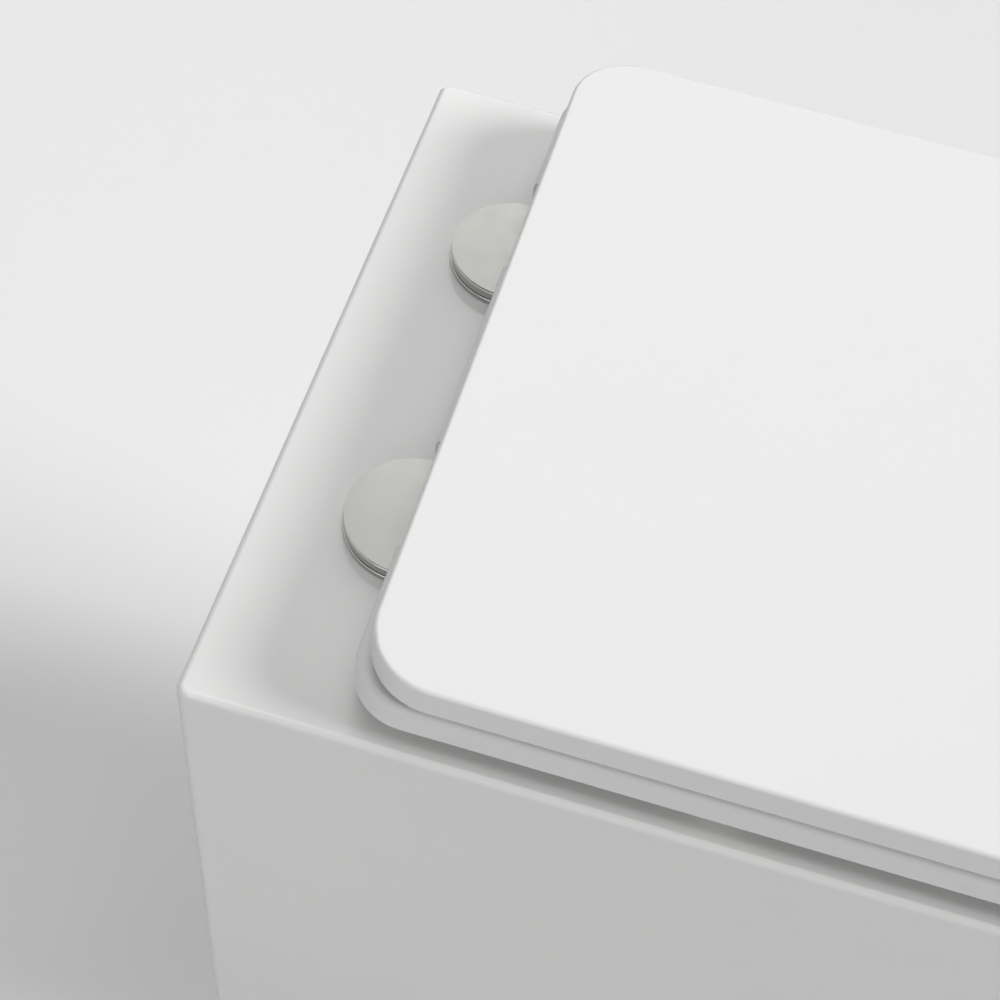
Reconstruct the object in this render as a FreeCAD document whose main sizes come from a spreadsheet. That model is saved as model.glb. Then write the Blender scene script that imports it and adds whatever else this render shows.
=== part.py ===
import FreeCAD, Part
import math
import os
import Sketcher
from dataclasses import dataclass, replace

# Driving sizes in millimetres, angles in degrees. The wall is the plane y = 0, the front of the
# toilet points to -y, and z = 0 is the height of the two wall studs.
SIZES = {
    # ceramic pan
    "pan_width": 360,
    "pan_depth": 540,
    "pan_height": 350,
    "deck_height": 80,
    "foot_width": 328,
    "foot_depth": 335,
    "front_spread": 30,
    "front_bow": 90,
    "rear_corner": 6,
    "pan_wall": 12,
    "deck_thickness": 16,
    "rear_wall": 16,
    "rear_grind": 0.5,
    "top_edge": 3,
    "foot_edge": 5,
    # bowl
    "rim_width": 35,
    "bowl_setback": 150,
    "bowl_rear_corner": 105,
    "rim_edge": 5,
    "ledge_depth": 52,
    "ledge_width": 13,
    "ledge_edge": 5,
    "bowl_wall": 10,
    "sump_half": 40,
    "sump_setback": 200,
    "sump_front": 298,
    # trap and outlet
    "trap_bore": 68,
    "trap_wall": 11,
    "sump_drop": 208,
    "crown_drop": 90,
    "trap_start": 255,
    "crown_run": 15,
    "trap_bend": 60,
    "trap_slope": 60,
    "outlet_drop": 100,
    "outlet_bore": 84,
    "spigot_diameter": 102,
    "spigot_length": 55,
    "chamber_diameter": 114,
    "chamber_length": 40,
    "spigot_setback": 5,
    "spigot_clearance": 20,
    # flush inlet
    "inlet_rise": 35,
    "inlet_bore": 55,
    "inlet_wall": 9,
    "inlet_depth": 45,
    "slot_width": 60,
    "slot_height": 28,
    "slot_corner": 8,
    "slot_wall": 8,
    "flush_pipe": 45,
    "pipe_clearance": 0.05,
    "collar_length": 28,
    "divider_length": 12,
    "divider_wall": 2.5,
    "divider_web": 7,
    "divider_clearance": 0.1,
    # wall fixing
    "stud_spacing": 180,
    "stud_diameter": 12,
    "stud_clearance": 0.4,
    "sleeve_wall": 3.5,
    "sleeve_flange": 4,
    "sleeve_flange_thickness": 3,
    "sleeve_clearance": 0.1,
    "washer_diameter": 36,
    "washer_thickness": 3,
    "stud_nut_flats": 19,
    "stud_nut_height": 10,
    # hinge
    "hinge_spacing": 155,
    "hinge_setback": 64,
    "hinge_hole": 15,
    "disc_diameter": 58,
    "disc_height": 8.5,
    "disc_skin": 1.5,
    "disc_rim": 2,
    "disc_chamfer": 1,
    "disc_groove": 0.5,
    "disc_groove_height": 1.4,
    "disc_clearance": 0.4,
    "gasket_thickness": 0.8,
    "foot_thickness": 3,
    "foot_clearance": 0.4,
    "post_width": 15,
    "post_depth": 6,
    "post_setback": 7.5,
    "arm_drop": 3.5,
    "neck_bend": 5,
    "neck_inner_bend": 2,
    "axis_setback": 73.5,
    "axis_rise": 33,
    "knuckle_diameter": 11,
    "knuckle_width": 17,
    "knuckle_clearance": 0.5,
    "pin_diameter": 6,
    "pin_clearance": 0.05,
    "bush_wall": 1.2,
    "bush_clearance": 0.02,
    "bolt_diameter": 6,
    "bolt_head": 12,
    "bolt_head_height": 2.8,
    "bolt_hole_clearance": 0.2,
    "dowel_length": 30,
    "dowel_clearance": 0.15,
    "cone_nut_diameter": 13,
    "cone_nut_height": 8,
    "leaf_length": 32,
    "leaf_thickness": 4,
    "leaf_corner": 4,
    "leaf_bend": 0.8,
    "leaf_clearance": 0.3,
    "leaf_screw_pitch": 18,
    "leaf_screw_diameter": 3.5,
    "leaf_screw_head": 7,
    "leaf_screw_length": 9,
    "lid_screw_bite": 3.5,
    # seat and lid
    "seat_lift": 11,
    "seat_thickness": 15,
    "seat_inset": 5,
    "seat_setback": 64,
    "seat_edge": 3.5,
    "seat_lower_edge": 1.5,
    "seat_inner_edge": 7,
    "seat_corner": 23,
    "opening_half": 114,
    "opening_setback": 195,
    "opening_front": 468,
    "opening_rear_corner": 90,
    "notch_margin": 1.5,
    "notch_depth": 3,
    "lid_gap": 4,
    "lid_thickness": 15,
    "lid_skin": 6,
    "lid_rim": 4,
    "lid_inset": 4.4,
    "lid_setback": 68.5,
    "lid_corner": 28,
    "lid_edge": 2,
    "lid_lower_edge": 0.8,
    # buffers
    "buffer_diameter": 16,
    "buffer_stem": 8,
    "buffer_stem_length": 5,
    "buffer_reach": 160,
    "buffer_rear": 210,
    "buffer_front": 380,
    "lid_buffer_diameter": 12,
    "lid_buffer_stem": 6,
    "lid_buffer_reach": 148,
    "lid_buffer_rear": 170,
    "lid_buffer_front": 400,
    "buffer_boss_wall": 3,
    "buffer_clearance": 0.1,
}

SHELL_LEVELS = 5
SHELL_CURVE = 2.4
BOWL_LEVELS = 4

document = FreeCAD.newDocument("wall_hung_toilet")
sheet = document.addObject("Spreadsheet::Sheet", "Dims")
pieces = []


class Size:
    """A length that carries its value and the sheet formula that gives it."""

    def __init__(self, value, formula):
        self.value = float(value)
        self.formula = formula

    def __add__(self, other):
        other = as_size(other)
        return Size(self.value + other.value, f"({self.formula} + {other.formula})")

    def __sub__(self, other):
        other = as_size(other)
        return Size(self.value - other.value, f"({self.formula} - {other.formula})")

    def __mul__(self, other):
        other = as_size(other)
        return Size(self.value * other.value, f"({self.formula} * {other.formula})")

    def __truediv__(self, other):
        other = as_size(other)
        return Size(self.value / other.value, f"({self.formula} / {other.formula})")

    def __neg__(self):
        return self * -1

    def __radd__(self, other):
        return as_size(other) + self

    def __rsub__(self, other):
        return as_size(other) - self

    def __rmul__(self, other):
        return as_size(other) * self


def as_size(value):
    """Any plain number as a Size."""
    return value if isinstance(value, Size) else Size(value, f"({value!r})")


def fill_sheet():
    """Writes the driving sizes to the sheet and gives each one an alias."""
    for row, (name, value) in enumerate(SIZES.items(), start=1):
        sheet.set(f"A{row}", name)
        sheet.set(f"B{row}", str(value))
        sheet.setAlias(f"B{row}", name)
    document.recompute()
    return {name: Size(value, f"Dims.{name}") for name, value in SIZES.items()}


D = fill_sheet()

DECK = D["deck_height"]
FLOOR = DECK - D["pan_height"]
PAN_HALF = D["pan_width"] / 2
SEAT_BOTTOM = DECK + D["seat_lift"]
SEAT_TOP = SEAT_BOTTOM + D["seat_thickness"]
LID_BOTTOM = SEAT_TOP + D["lid_gap"]
LID_TOP = LID_BOTTOM + D["lid_thickness"]
LID_UNDERSIDE = LID_TOP - D["lid_skin"]
HINGE_X = D["hinge_spacing"] / 2
HINGE_Y = -D["hinge_setback"]
AXIS_Y = -D["axis_setback"]
AXIS_Z = DECK + D["axis_rise"]
KNUCKLE_R = D["knuckle_diameter"] / 2
PIN_R = D["pin_diameter"] / 2
BUSH_BORE_R = PIN_R + D["pin_clearance"]
BUSH_R = BUSH_BORE_R + D["bush_wall"]
POST_HALF = D["post_width"] / 2
POST_REAR = AXIS_Y - D["post_setback"]
POST_FRONT = POST_REAR - D["post_depth"]
KNUCKLE_NEAR = POST_HALF + D["knuckle_clearance"]
KNUCKLE_FAR = KNUCKLE_NEAR + D["knuckle_width"]
NOTCH_HALF = KNUCKLE_FAR + D["notch_margin"]
NOTCH_FRONT = POST_FRONT - D["notch_depth"]
LEAF_FRONT = NOTCH_FRONT - D["leaf_length"]
SLEEVE_BORE_R = D["stud_diameter"] / 2 + D["stud_clearance"]
SLEEVE_R = SLEEVE_BORE_R + D["sleeve_wall"]
STUD_X = D["stud_spacing"] / 2
SCREW_R = D["leaf_screw_diameter"] / 2
SCREW_HEAD = D["leaf_screw_head"] / 2 - SCREW_R
SPIGOT_FRONT = -(D["spigot_setback"] + D["spigot_length"])
CROWN_Y = SPIGOT_FRONT - D["crown_run"]
OUTLET_END = SPIGOT_FRONT - D["chamber_length"] + D["trap_wall"]
SIDES = {"left": -1, "right": 1}
PLUS_Y = FreeCAD.Rotation(FreeCAD.Vector(1, 0, 0), -90)
PLUS_X = FreeCAD.Rotation(FreeCAD.Vector(0, 1, 0), 90)
PLUS_Z = FreeCAD.Rotation()


@dataclass
class Outline:
    """A plan outline with straight sides, round rear corners and a bowed round front."""

    half: Size
    rear: Size
    front: Size
    rear_corner: Size
    spread: Size
    bow: Size

    def inset(self, step):
        """The same outline moved inwards by a step."""
        return replace(
            self,
            half=self.half - step,
            rear=self.rear - step,
            front=self.front + step,
            rear_corner=self.rear_corner - step,
        )

    def towards(self, other, share):
        """The outline that lies a share of the way to another one."""
        fields = vars(self)
        return Outline(**{key: fields[key] * (1 - share) + getattr(other, key) * share for key in fields})


def bind(item, prop, size):
    """Binds a property to a sheet formula."""
    item.setExpression(prop, as_size(size).formula)


def plane_of(body, role):
    """One of the body's own origin planes."""
    return next(item for item in body.Origin.OriginFeatures if item.Role == role)


def new_sketch(body, name, role, offset=0):
    """An empty sketch on an origin plane of the body, moved along the plane's normal."""
    sketch = body.newObject("Sketcher::SketchObject", name)
    sketch.AttachmentSupport = [(plane_of(body, role), "")]
    sketch.MapMode = "FlatFace"
    bind(sketch, "AttachmentOffset.Base.z", offset)
    return sketch


def add_rule(sketch, rule, *ends, size=None):
    """Adds a constraint, and binds it if it has a size."""
    if size is None:
        sketch.addConstraint(Sketcher.Constraint(rule, *ends))
        return
    index = sketch.addConstraint(Sketcher.Constraint(rule, *ends, size.value))
    bind(sketch, f"Constraints[{index}]", size)


def pin_point(sketch, item, end, x=None, y=None):
    """Fixes a point of a sketch item at a place."""
    for value, rule, axis in ((x, "DistanceX", -2), (y, "DistanceY", -1)):
        if value is None:
            continue
        size = as_size(value)
        if size.value == 0:
            add_rule(sketch, "PointOnObject", item, end, axis)
        else:
            add_rule(sketch, rule, -1, 1, item, end, size=size)


def arc(x, y, radius, start, end):
    """A sketch arc from its centre, radius and two angles in radians."""
    circle = Part.Circle(FreeCAD.Vector(x, y, 0), FreeCAD.Vector(0, 0, 1), radius)
    return Part.ArcOfCircle(circle, start, end)


def line(x0, y0, x1, y1):
    """A sketch line between two points."""
    return Part.LineSegment(FreeCAD.Vector(x0, y0, 0), FreeCAD.Vector(x1, y1, 0))


def draw_outline(sketch, outline):
    """Draws a plan outline in a sketch, counter-clockwise from the right side."""
    half, rear, front = outline.half.value, outline.rear.value, outline.front.value
    corner = outline.rear_corner.value
    front_corner = outline.half - outline.spread
    bow = front_corner + outline.bow
    bow_y = outline.front + bow
    spread, bow_step = outline.spread.value, outline.bow.value
    drop = math.sqrt(bow_step**2 - spread**2)
    side_end = bow_y.value - drop
    turn = math.atan2(drop, spread)
    full = 2 * math.pi
    shapes = [
        line(half, side_end, half, rear - corner),
        arc(half - corner, rear - corner, corner, 0, math.pi / 2),
        line(half - corner, rear, corner - half, rear),
        arc(corner - half, rear - corner, corner, math.pi / 2, math.pi),
        line(-half, rear - corner, -half, side_end),
        arc(-spread, side_end, front_corner.value, math.pi, math.pi + turn),
        arc(0, bow_y.value, bow.value, math.pi + turn, full - turn),
        arc(spread, side_end, front_corner.value, full - turn, full),
    ]
    first = sketch.addGeometry(shapes, False)[0]
    for step in range(len(shapes)):
        add_rule(sketch, "Tangent", first + step, 2, first + (step + 1) % len(shapes), 1)
    right, rear_right, back, rear_left, left, front_left, bow_item, front_right = range(first, first + 8)
    add_rule(sketch, "Vertical", right)
    add_rule(sketch, "Vertical", left)
    add_rule(sketch, "Horizontal", back)
    pin_point(sketch, right, 1, x=outline.half)
    pin_point(sketch, left, 1, x=-outline.half)
    pin_point(sketch, back, 1, y=outline.rear)
    for item in (rear_right, rear_left):
        add_rule(sketch, "Radius", item, size=outline.rear_corner)
    for item in (front_left, front_right):
        add_rule(sketch, "Radius", item, size=front_corner)
    add_rule(sketch, "Radius", bow_item, size=bow)
    pin_point(sketch, bow_item, 3, x=0, y=bow_y)


def draw_circle(sketch, x, y, radius):
    """Draws a circle in a sketch."""
    x, y = as_size(x), as_size(y)
    circle = Part.Circle(FreeCAD.Vector(x.value, y.value, 0), FreeCAD.Vector(0, 0, 1), radius.value)
    item = sketch.addGeometry(circle, False)
    add_rule(sketch, "Radius", item, size=radius)
    pin_point(sketch, item, 3, x=x, y=y)


def draw_polygon(sketch, corners):
    """Draws a closed outline of straight lines in a sketch through the given corners."""
    corners = [(as_size(x), as_size(y)) for x, y in corners]
    ends = zip(corners, corners[1:] + corners[:1])
    shapes = [line(a.value, b.value, c.value, d.value) for (a, b), (c, d) in ends]
    first = sketch.addGeometry(shapes, False)[0]
    for step, (x, y) in enumerate(corners):
        after = first + (step + 1) % len(corners)
        add_rule(sketch, "Coincident", first + step, 2, after, 1)
        pin_point(sketch, first + step, 1, x=x, y=y)


def draw_rectangle(sketch, x0, y0, x1, y1):
    """Draws an upright rectangle in a sketch between two opposite corners."""
    draw_polygon(sketch, [(x0, y0), (x1, y0), (x1, y1), (x0, y1)])


def draw_rounded(sketch, half, low, high, radius):
    """Draws a rectangle with round corners in a sketch, from -half to half across."""
    x, y0, y1, r = half.value, low.value, high.value, radius.value
    quarter = math.pi / 2
    shapes = [
        line(x, y0 + r, x, y1 - r),
        arc(x - r, y1 - r, r, 0, quarter),
        line(x - r, y1, r - x, y1),
        arc(r - x, y1 - r, r, quarter, 2 * quarter),
        line(-x, y1 - r, -x, y0 + r),
        arc(r - x, y0 + r, r, 2 * quarter, 3 * quarter),
        line(r - x, y0, x - r, y0),
        arc(x - r, y0 + r, r, 3 * quarter, 4 * quarter),
    ]
    first = sketch.addGeometry(shapes, False)[0]
    for step in range(len(shapes)):
        add_rule(sketch, "Tangent", first + step, 2, first + (step + 1) % len(shapes), 1)
    right, top, left, bottom = range(first, first + 8, 2)
    for item, rule in ((right, "Vertical"), (left, "Vertical"), (top, "Horizontal"), (bottom, "Horizontal")):
        add_rule(sketch, rule, item)
        add_rule(sketch, "Radius", item + 1, size=radius)
    pin_point(sketch, right, 1, x=half)
    pin_point(sketch, left, 1, x=-half)
    pin_point(sketch, top, 1, y=high)
    pin_point(sketch, bottom, 1, y=low)


def extrude(body, kind, sketch, length, backwards=False):
    """A pad or pocket of a sketch. A pad goes along the sketch's normal, a pocket against it."""
    feature = body.newObject(f"PartDesign::{kind}", f"{sketch.Name}_{kind.lower()}")
    feature.Profile = (sketch, [""])
    feature.Reversed = backwards
    bind(feature, "Length", length)
    return feature


def loft(body, kind, sketches):
    """An additive or subtractive loft through a row of sketches."""
    feature = body.newObject(f"PartDesign::{kind}Loft", f"{sketches[0].Name}_loft")
    feature.Profile = (sketches[0], [""])
    feature.Sections = [(sketch, [""]) for sketch in sketches[1:]]
    return feature


def sweep(body, kind, profile, spine):
    """An additive or subtractive pipe along a spine."""
    feature = body.newObject(f"PartDesign::{kind}Pipe", f"{profile.Name}_pipe")
    feature.Profile = (profile, [""])
    feature.Spine = (spine, [""])
    return feature


def picked_edges(body, wanted):
    """The body's last feature and the names of its edges that a test picks."""
    document.recompute()
    base = body.Tip
    return base, [f"Edge{i}" for i, edge in enumerate(base.Shape.Edges, start=1) if wanted(edge.BoundBox)]


def round_edges(body, name, radius, wanted):
    """Rounds every edge of the body so far that a test picks."""
    base = picked_edges(body, wanted)
    feature = body.newObject("PartDesign::Fillet", name)
    feature.Base = base
    bind(feature, "Radius", radius)


def bevel_edges(body, name, size, wanted):
    """Bevels every edge of the body so far that a test picks."""
    base = picked_edges(body, wanted)
    feature = body.newObject("PartDesign::Chamfer", name)
    feature.Base = base
    bind(feature, "Size", size)


def is_level(box, height):
    """Is an edge's box flat at a height?"""
    return abs(box.ZMin - height.value) < 0.01 and abs(box.ZMax - height.value) < 0.01


def is_rail(box, y, z):
    """Is an edge's box a line along x at a place?"""
    spots = ((box.YMin, y), (box.YMax, y), (box.ZMin, z), (box.ZMax, z))
    return all(abs(found - wanted.value) < 0.01 for found, wanted in spots)


def place(item, turn, x, y, z):
    """Puts an item at a bound place with a fixed turn."""
    item.Placement = FreeCAD.Placement(FreeCAD.Vector(), turn)
    for axis, value in zip("xyz", (x, y, z)):
        bind(item, f"Placement.Base.{axis}", value)
    return item


def rod(radius, length, turn, x, y, z):
    """A cylinder that starts at a place and runs along the turned axis."""
    item = document.addObject("Part::Cylinder", "rod")
    bind(item, "Radius", radius)
    bind(item, "Height", length)
    return place(item, turn, x, y, z)


def cone(start_radius, end_radius, length, x, y, z):
    """An upright cone."""
    item = document.addObject("Part::Cone", "cone")
    bind(item, "Radius1", start_radius)
    bind(item, "Radius2", end_radius)
    bind(item, "Height", length)
    return place(item, PLUS_Z, x, y, z)


def block(x0, x1, y0, y1, z0, z1):
    """A box between two limits on each axis."""
    item = document.addObject("Part::Box", "block")
    for prop, low, high in (("Length", x0, x1), ("Width", y0, y1), ("Height", z0, z1)):
        bind(item, prop, as_size(high) - low)
    return place(item, PLUS_Z, x0, y0, z0)


def hexagon(flats, height, turn, x, y, z):
    """A hexagonal prism from its width across the flats."""
    item = document.addObject("Part::Prism", "hexagon")
    item.Polygon = 6
    bind(item, "Circumradius", flats / math.sqrt(3))
    bind(item, "Height", height)
    return place(item, turn, x, y, z)


def fuse(*items):
    """The items joined to one solid."""
    item = document.addObject("Part::MultiFuse", "fusion")
    item.Shapes = list(items)
    item.Refine = True
    return item


def cut(base, *tools):
    """The base without the tools."""
    item = document.addObject("Part::Cut", "cut")
    item.Base = base
    item.Tool = tools[0] if len(tools) == 1 else fuse(*tools)
    return item


def group(*items):
    """Several separate solids in one item."""
    item = document.addObject("Part::Compound", "group")
    item.Links = list(items)
    return item


def finish(name, item):
    """Names a finished piece and lists it for export."""
    item.Label = name
    pieces.append(item)
    return item


def span(side, near, far):
    """The low and high x of a stretch that lies near..far outwards from a hinge's middle."""
    ends = (side * (HINGE_X + near), side * (HINGE_X + far))
    return ends if side > 0 else ends[::-1]


def pan_outline():
    """The pan's plan outline at the deck."""
    return Outline(PAN_HALF, as_size(0), -D["pan_depth"], D["rear_corner"], D["front_spread"], D["front_bow"])


def shell_outlines():
    """The pan's outlines from the deck to the foot, with their heights."""
    top = pan_outline()
    for step in range(SHELL_LEVELS + 1):
        share = step / SHELL_LEVELS
        depth = D["pan_depth"] + (D["foot_depth"] - D["pan_depth"]) * share**SHELL_CURVE
        half = PAN_HALF + (D["foot_width"] / 2 - PAN_HALF) * share
        yield replace(top, half=half, front=-depth), DECK - D["pan_height"] * share


def bowl_outlines(outset):
    """The bowl's outlines from the ledge to the sump floor, with their heights."""
    ledge = replace(
        pan_outline().inset(D["rim_width"] + D["ledge_width"]),
        rear=-(D["bowl_setback"] + D["ledge_width"]),
        rear_corner=D["bowl_rear_corner"] - D["ledge_width"],
    )
    sump = Outline(
        D["sump_half"],
        -D["sump_setback"],
        -D["sump_front"],
        D["sump_half"] * 0.8,
        D["sump_half"] * 0.2,
        D["sump_half"] * 0.6,
    )
    floor = -(D["sump_drop"] + D["trap_bore"] / 2)
    top = DECK - D["ledge_depth"]
    for step in range(BOWL_LEVELS + 1):
        share = step / BOWL_LEVELS
        eased = share * share * (3 - 2 * share)
        yield ledge.towards(sump, eased).inset(-outset), top + (floor - top) * share - outset


def opening_outline():
    """The bowl's opening in the deck."""
    return replace(
        pan_outline().inset(D["rim_width"]),
        rear=-D["bowl_setback"],
        rear_corner=D["bowl_rear_corner"],
    )


def draw_trap(sketch):
    """The trap's centre line: along the sump, up the slope and over the crown to the outlet."""
    slope = math.radians(D["trap_slope"].value)
    bend = D["trap_bend"].value
    low, high = -D["sump_drop"].value, -D["crown_drop"].value
    start, crown, end = -D["trap_start"].value, CROWN_Y.value, SPIGOT_FRONT.value
    reach, rise = bend * math.sin(slope), bend * (1 - math.cos(slope))
    turn = crown - 2 * reach - (high - low - 2 * rise) / math.tan(slope)
    quarter = math.pi / 2
    shapes = [
        line(start, low, turn, low),
        arc(turn, low + bend, bend, -quarter, slope - quarter),
        line(turn + reach, low + rise, crown - reach, high - rise),
        arc(crown, high - bend, bend, quarter, quarter + slope),
        line(crown, high, end, high),
    ]
    sketch.addGeometry(shapes, False)
    for joint in ((0, 2, 1, 1), (1, 2, 2, 1), (2, 2, 3, 2), (3, 1, 4, 1)):
        add_rule(sketch, "Tangent", *joint)
    add_rule(sketch, "Horizontal", 0)
    add_rule(sketch, "Horizontal", 4)
    pin_point(sketch, 0, 1, x=-D["trap_start"], y=-D["sump_drop"])
    pin_point(sketch, 4, 1, x=CROWN_Y)
    pin_point(sketch, 4, 2, x=SPIGOT_FRONT, y=-D["crown_drop"])
    add_rule(sketch, "Radius", 1, size=D["trap_bend"])
    add_rule(sketch, "Radius", 3, size=D["trap_bend"])
    index = sketch.addConstraint(Sketcher.Constraint("Angle", 2, slope))
    sketch.setExpression(f"Constraints[{index}]", "Dims.trap_slope * 1 deg")


def make_pan():
    """The ceramic pan: shell, deck, bowl, trap, outlet and inlet in one fired piece."""
    body = document.addObject("PartDesign::Body", "pan")
    sections = []
    for outline, height in shell_outlines():
        sections.append(new_sketch(body, "shell", "XY_Plane", height))
        draw_outline(sections[-1], replace(outline, rear=D["rear_grind"]))
    loft(body, "Additive", sections)
    # the back is ground flat after firing
    back = new_sketch(body, "back", "XZ_Plane")
    draw_rectangle(back, -PAN_HALF - 1, FLOOR - 1, PAN_HALF + 1, DECK + 1)
    extrude(body, "Pocket", back, D["rear_grind"] + 1)
    round_edges(body, "top_rounding", D["top_edge"], lambda box: is_level(box, DECK))
    clear_of_wall = D["rear_grind"].value - D["rear_corner"].value + 0.01
    round_edges(
        body, "foot_rounding", D["foot_edge"], lambda box: is_level(box, FLOOR) and box.YMax < clear_of_wall
    )

    sections = []
    for step, (outline, height) in enumerate(shell_outlines()):
        inner = replace(outline.inset(D["pan_wall"]), rear=-D["rear_wall"], rear_corner=D["rear_corner"])
        level = DECK - D["deck_thickness"] if step == 0 else height
        level = height - 1 if step == SHELL_LEVELS else level
        sections.append(new_sketch(body, "hollow", "XY_Plane", level))
        draw_outline(sections[-1], inner)
    loft(body, "Subtractive", sections)

    spigot_r = D["spigot_diameter"] / 2
    arch_r = spigot_r + D["spigot_clearance"]
    arch = new_sketch(body, "arch", "XZ_Plane")
    draw_circle(arch, 0, -D["outlet_drop"], arch_r)
    extrude(body, "Pocket", arch, D["rear_wall"] + 1, backwards=True)
    slot = new_sketch(body, "arch_slot", "XZ_Plane")
    draw_rectangle(slot, -arch_r, FLOOR - 1, arch_r, -D["outlet_drop"])
    extrude(body, "Pocket", slot, D["rear_wall"] + 1, backwards=True)

    rim = new_sketch(body, "rim", "XY_Plane", DECK - D["ledge_depth"] - D["bowl_wall"])
    draw_outline(rim, opening_outline().inset(-D["bowl_wall"]))
    extrude(body, "Pad", rim, D["ledge_depth"] + D["bowl_wall"] - D["deck_thickness"] / 2)
    sections = []
    for outline, height in bowl_outlines(D["bowl_wall"]):
        sections.append(new_sketch(body, "bowl_outside", "XY_Plane", height))
        draw_outline(sections[-1], outline)
    loft(body, "Additive", sections)

    spine = new_sketch(body, "trap_line", "YZ_Plane")
    draw_trap(spine)
    trap = new_sketch(body, "trap_outside", "XZ_Plane", D["trap_start"])
    draw_circle(trap, 0, -D["sump_drop"], D["trap_bore"] / 2 + D["trap_wall"])
    sweep(body, "Additive", trap, spine)
    spigot = new_sketch(body, "spigot", "XZ_Plane", D["spigot_setback"])
    draw_circle(spigot, 0, -D["outlet_drop"], spigot_r)
    extrude(body, "Pad", spigot, D["spigot_length"] + 1)
    chamber = new_sketch(body, "chamber", "XZ_Plane", -SPIGOT_FRONT)
    draw_circle(chamber, 0, -D["outlet_drop"], D["chamber_diameter"] / 2)
    extrude(body, "Pad", chamber, D["chamber_length"])

    slot_bottom = DECK - D["ledge_depth"] + 2
    slot_top = slot_bottom + D["slot_height"]
    slot_half = D["slot_width"] / 2
    slot_wall = D["slot_wall"]
    inlet = new_sketch(body, "inlet", "XZ_Plane", D["rear_wall"] / 2)
    draw_circle(inlet, 0, D["inlet_rise"], D["inlet_bore"] / 2 + D["inlet_wall"])
    extrude(body, "Pad", inlet, D["inlet_depth"] + D["inlet_wall"] - D["rear_wall"] / 2)
    channel = new_sketch(body, "channel", "XZ_Plane", D["inlet_depth"] - slot_wall)
    channel_half = slot_half + slot_wall
    channel_corner = D["slot_corner"] + slot_wall
    draw_rounded(channel, channel_half, slot_bottom - slot_wall, slot_top + slot_wall, channel_corner)
    extrude(body, "Pad", channel, D["bowl_setback"] - D["inlet_depth"] + slot_wall - 1)

    opening = new_sketch(body, "opening", "XY_Plane", DECK)
    draw_outline(opening, opening_outline())
    extrude(body, "Pocket", opening, D["ledge_depth"])
    round_edges(body, "rim_rounding", D["rim_edge"], lambda box: is_bowl_edge(box, DECK))
    sections = []
    for outline, height in bowl_outlines(as_size(0)):
        sections.append(new_sketch(body, "bowl_inside", "XY_Plane", height))
        draw_outline(sections[-1], outline)
    loft(body, "Subtractive", sections)
    ledge = DECK - D["ledge_depth"]
    round_edges(body, "ledge_rounding", D["ledge_edge"], lambda box: is_bowl_edge(box, ledge))
    bore = new_sketch(body, "trap_inside", "XZ_Plane", D["trap_start"])
    draw_circle(bore, 0, -D["sump_drop"], D["trap_bore"] / 2)
    sweep(body, "Subtractive", bore, spine)
    outlet = new_sketch(body, "outlet", "XZ_Plane")
    draw_circle(outlet, 0, -D["outlet_drop"], D["outlet_bore"] / 2)
    extrude(body, "Pocket", outlet, -OUTLET_END, backwards=True)

    socket = new_sketch(body, "inlet_socket", "XZ_Plane")
    draw_circle(socket, 0, D["inlet_rise"], D["inlet_bore"] / 2)
    extrude(body, "Pocket", socket, D["inlet_depth"], backwards=True)
    flush = new_sketch(body, "flush_slot", "XZ_Plane", D["inlet_depth"] - D["inlet_wall"])
    draw_rounded(flush, slot_half, slot_bottom, slot_top, D["slot_corner"])
    slot_length = D["bowl_setback"] + D["ledge_width"] - D["inlet_depth"] + D["inlet_wall"]
    extrude(body, "Pocket", flush, slot_length, backwards=True)
    studs = new_sketch(body, "stud_holes", "XZ_Plane")
    hinges = new_sketch(body, "hinge_holes", "XY_Plane", DECK)
    for side in SIDES.values():
        draw_circle(studs, side * STUD_X, 0, SLEEVE_R + D["sleeve_clearance"])
        draw_circle(hinges, side * HINGE_X, HINGE_Y, D["hinge_hole"] / 2)
    extrude(body, "Pocket", studs, D["rear_wall"] + 1, backwards=True)
    extrude(body, "Pocket", hinges, D["deck_thickness"] + 1)
    return finish("ceramic_pan", body)


def is_within(box, outline):
    """Does an edge's box lie on a plan outline or inside it?"""
    inside_x = abs(box.Center.x) < outline.half.value + 0.01
    return inside_x and box.YMax < outline.rear.value + 0.01 and box.YMin > outline.front.value - 0.01


def is_bowl_edge(box, height):
    """Is an edge's box flat at a height and inside the bowl's opening?"""
    return is_level(box, height) and is_within(box, opening_outline())


def make_flush_fittings():
    """The rubber collar of the flush inlet and the water divider of the flush slot."""
    rise = D["inlet_rise"]
    length = D["collar_length"]
    bore = D["flush_pipe"] / 2 + D["pipe_clearance"]
    collar = cut(
        rod(D["inlet_bore"] / 2, length, PLUS_Y, 0, -length, rise),
        rod(bore, length + 2, PLUS_Y, 0, -length - 1, rise),
    )
    finish("flush_collar", collar)

    gap = D["divider_clearance"]
    half = D["slot_width"] / 2 - gap
    bottom = DECK - D["ledge_depth"] + 2 + gap
    top = bottom + D["slot_height"] - 2 * gap
    wall = D["divider_wall"]
    web = D["divider_web"] / 2
    body = document.addObject("PartDesign::Body", "divider")
    frame = new_sketch(body, "divider_frame", "XZ_Plane", D["bowl_setback"] - 1 - D["divider_length"])
    draw_rounded(frame, half, bottom, top, D["slot_corner"] - gap)
    extrude(body, "Pad", frame, D["divider_length"])
    windows = new_sketch(body, "divider_windows", "XZ_Plane", D["bowl_setback"] - 1)
    draw_rectangle(windows, wall - half, bottom + wall, -web, top - wall)
    draw_rectangle(windows, web, bottom + wall, half - wall, top - wall)
    extrude(body, "Pocket", windows, D["divider_length"] + 1)
    inner = half.value - wall.value
    round_edges(body, "window_rounding", wall * 2, lambda box: is_window_corner(box, inner))
    finish("flush_divider", body)


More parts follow.
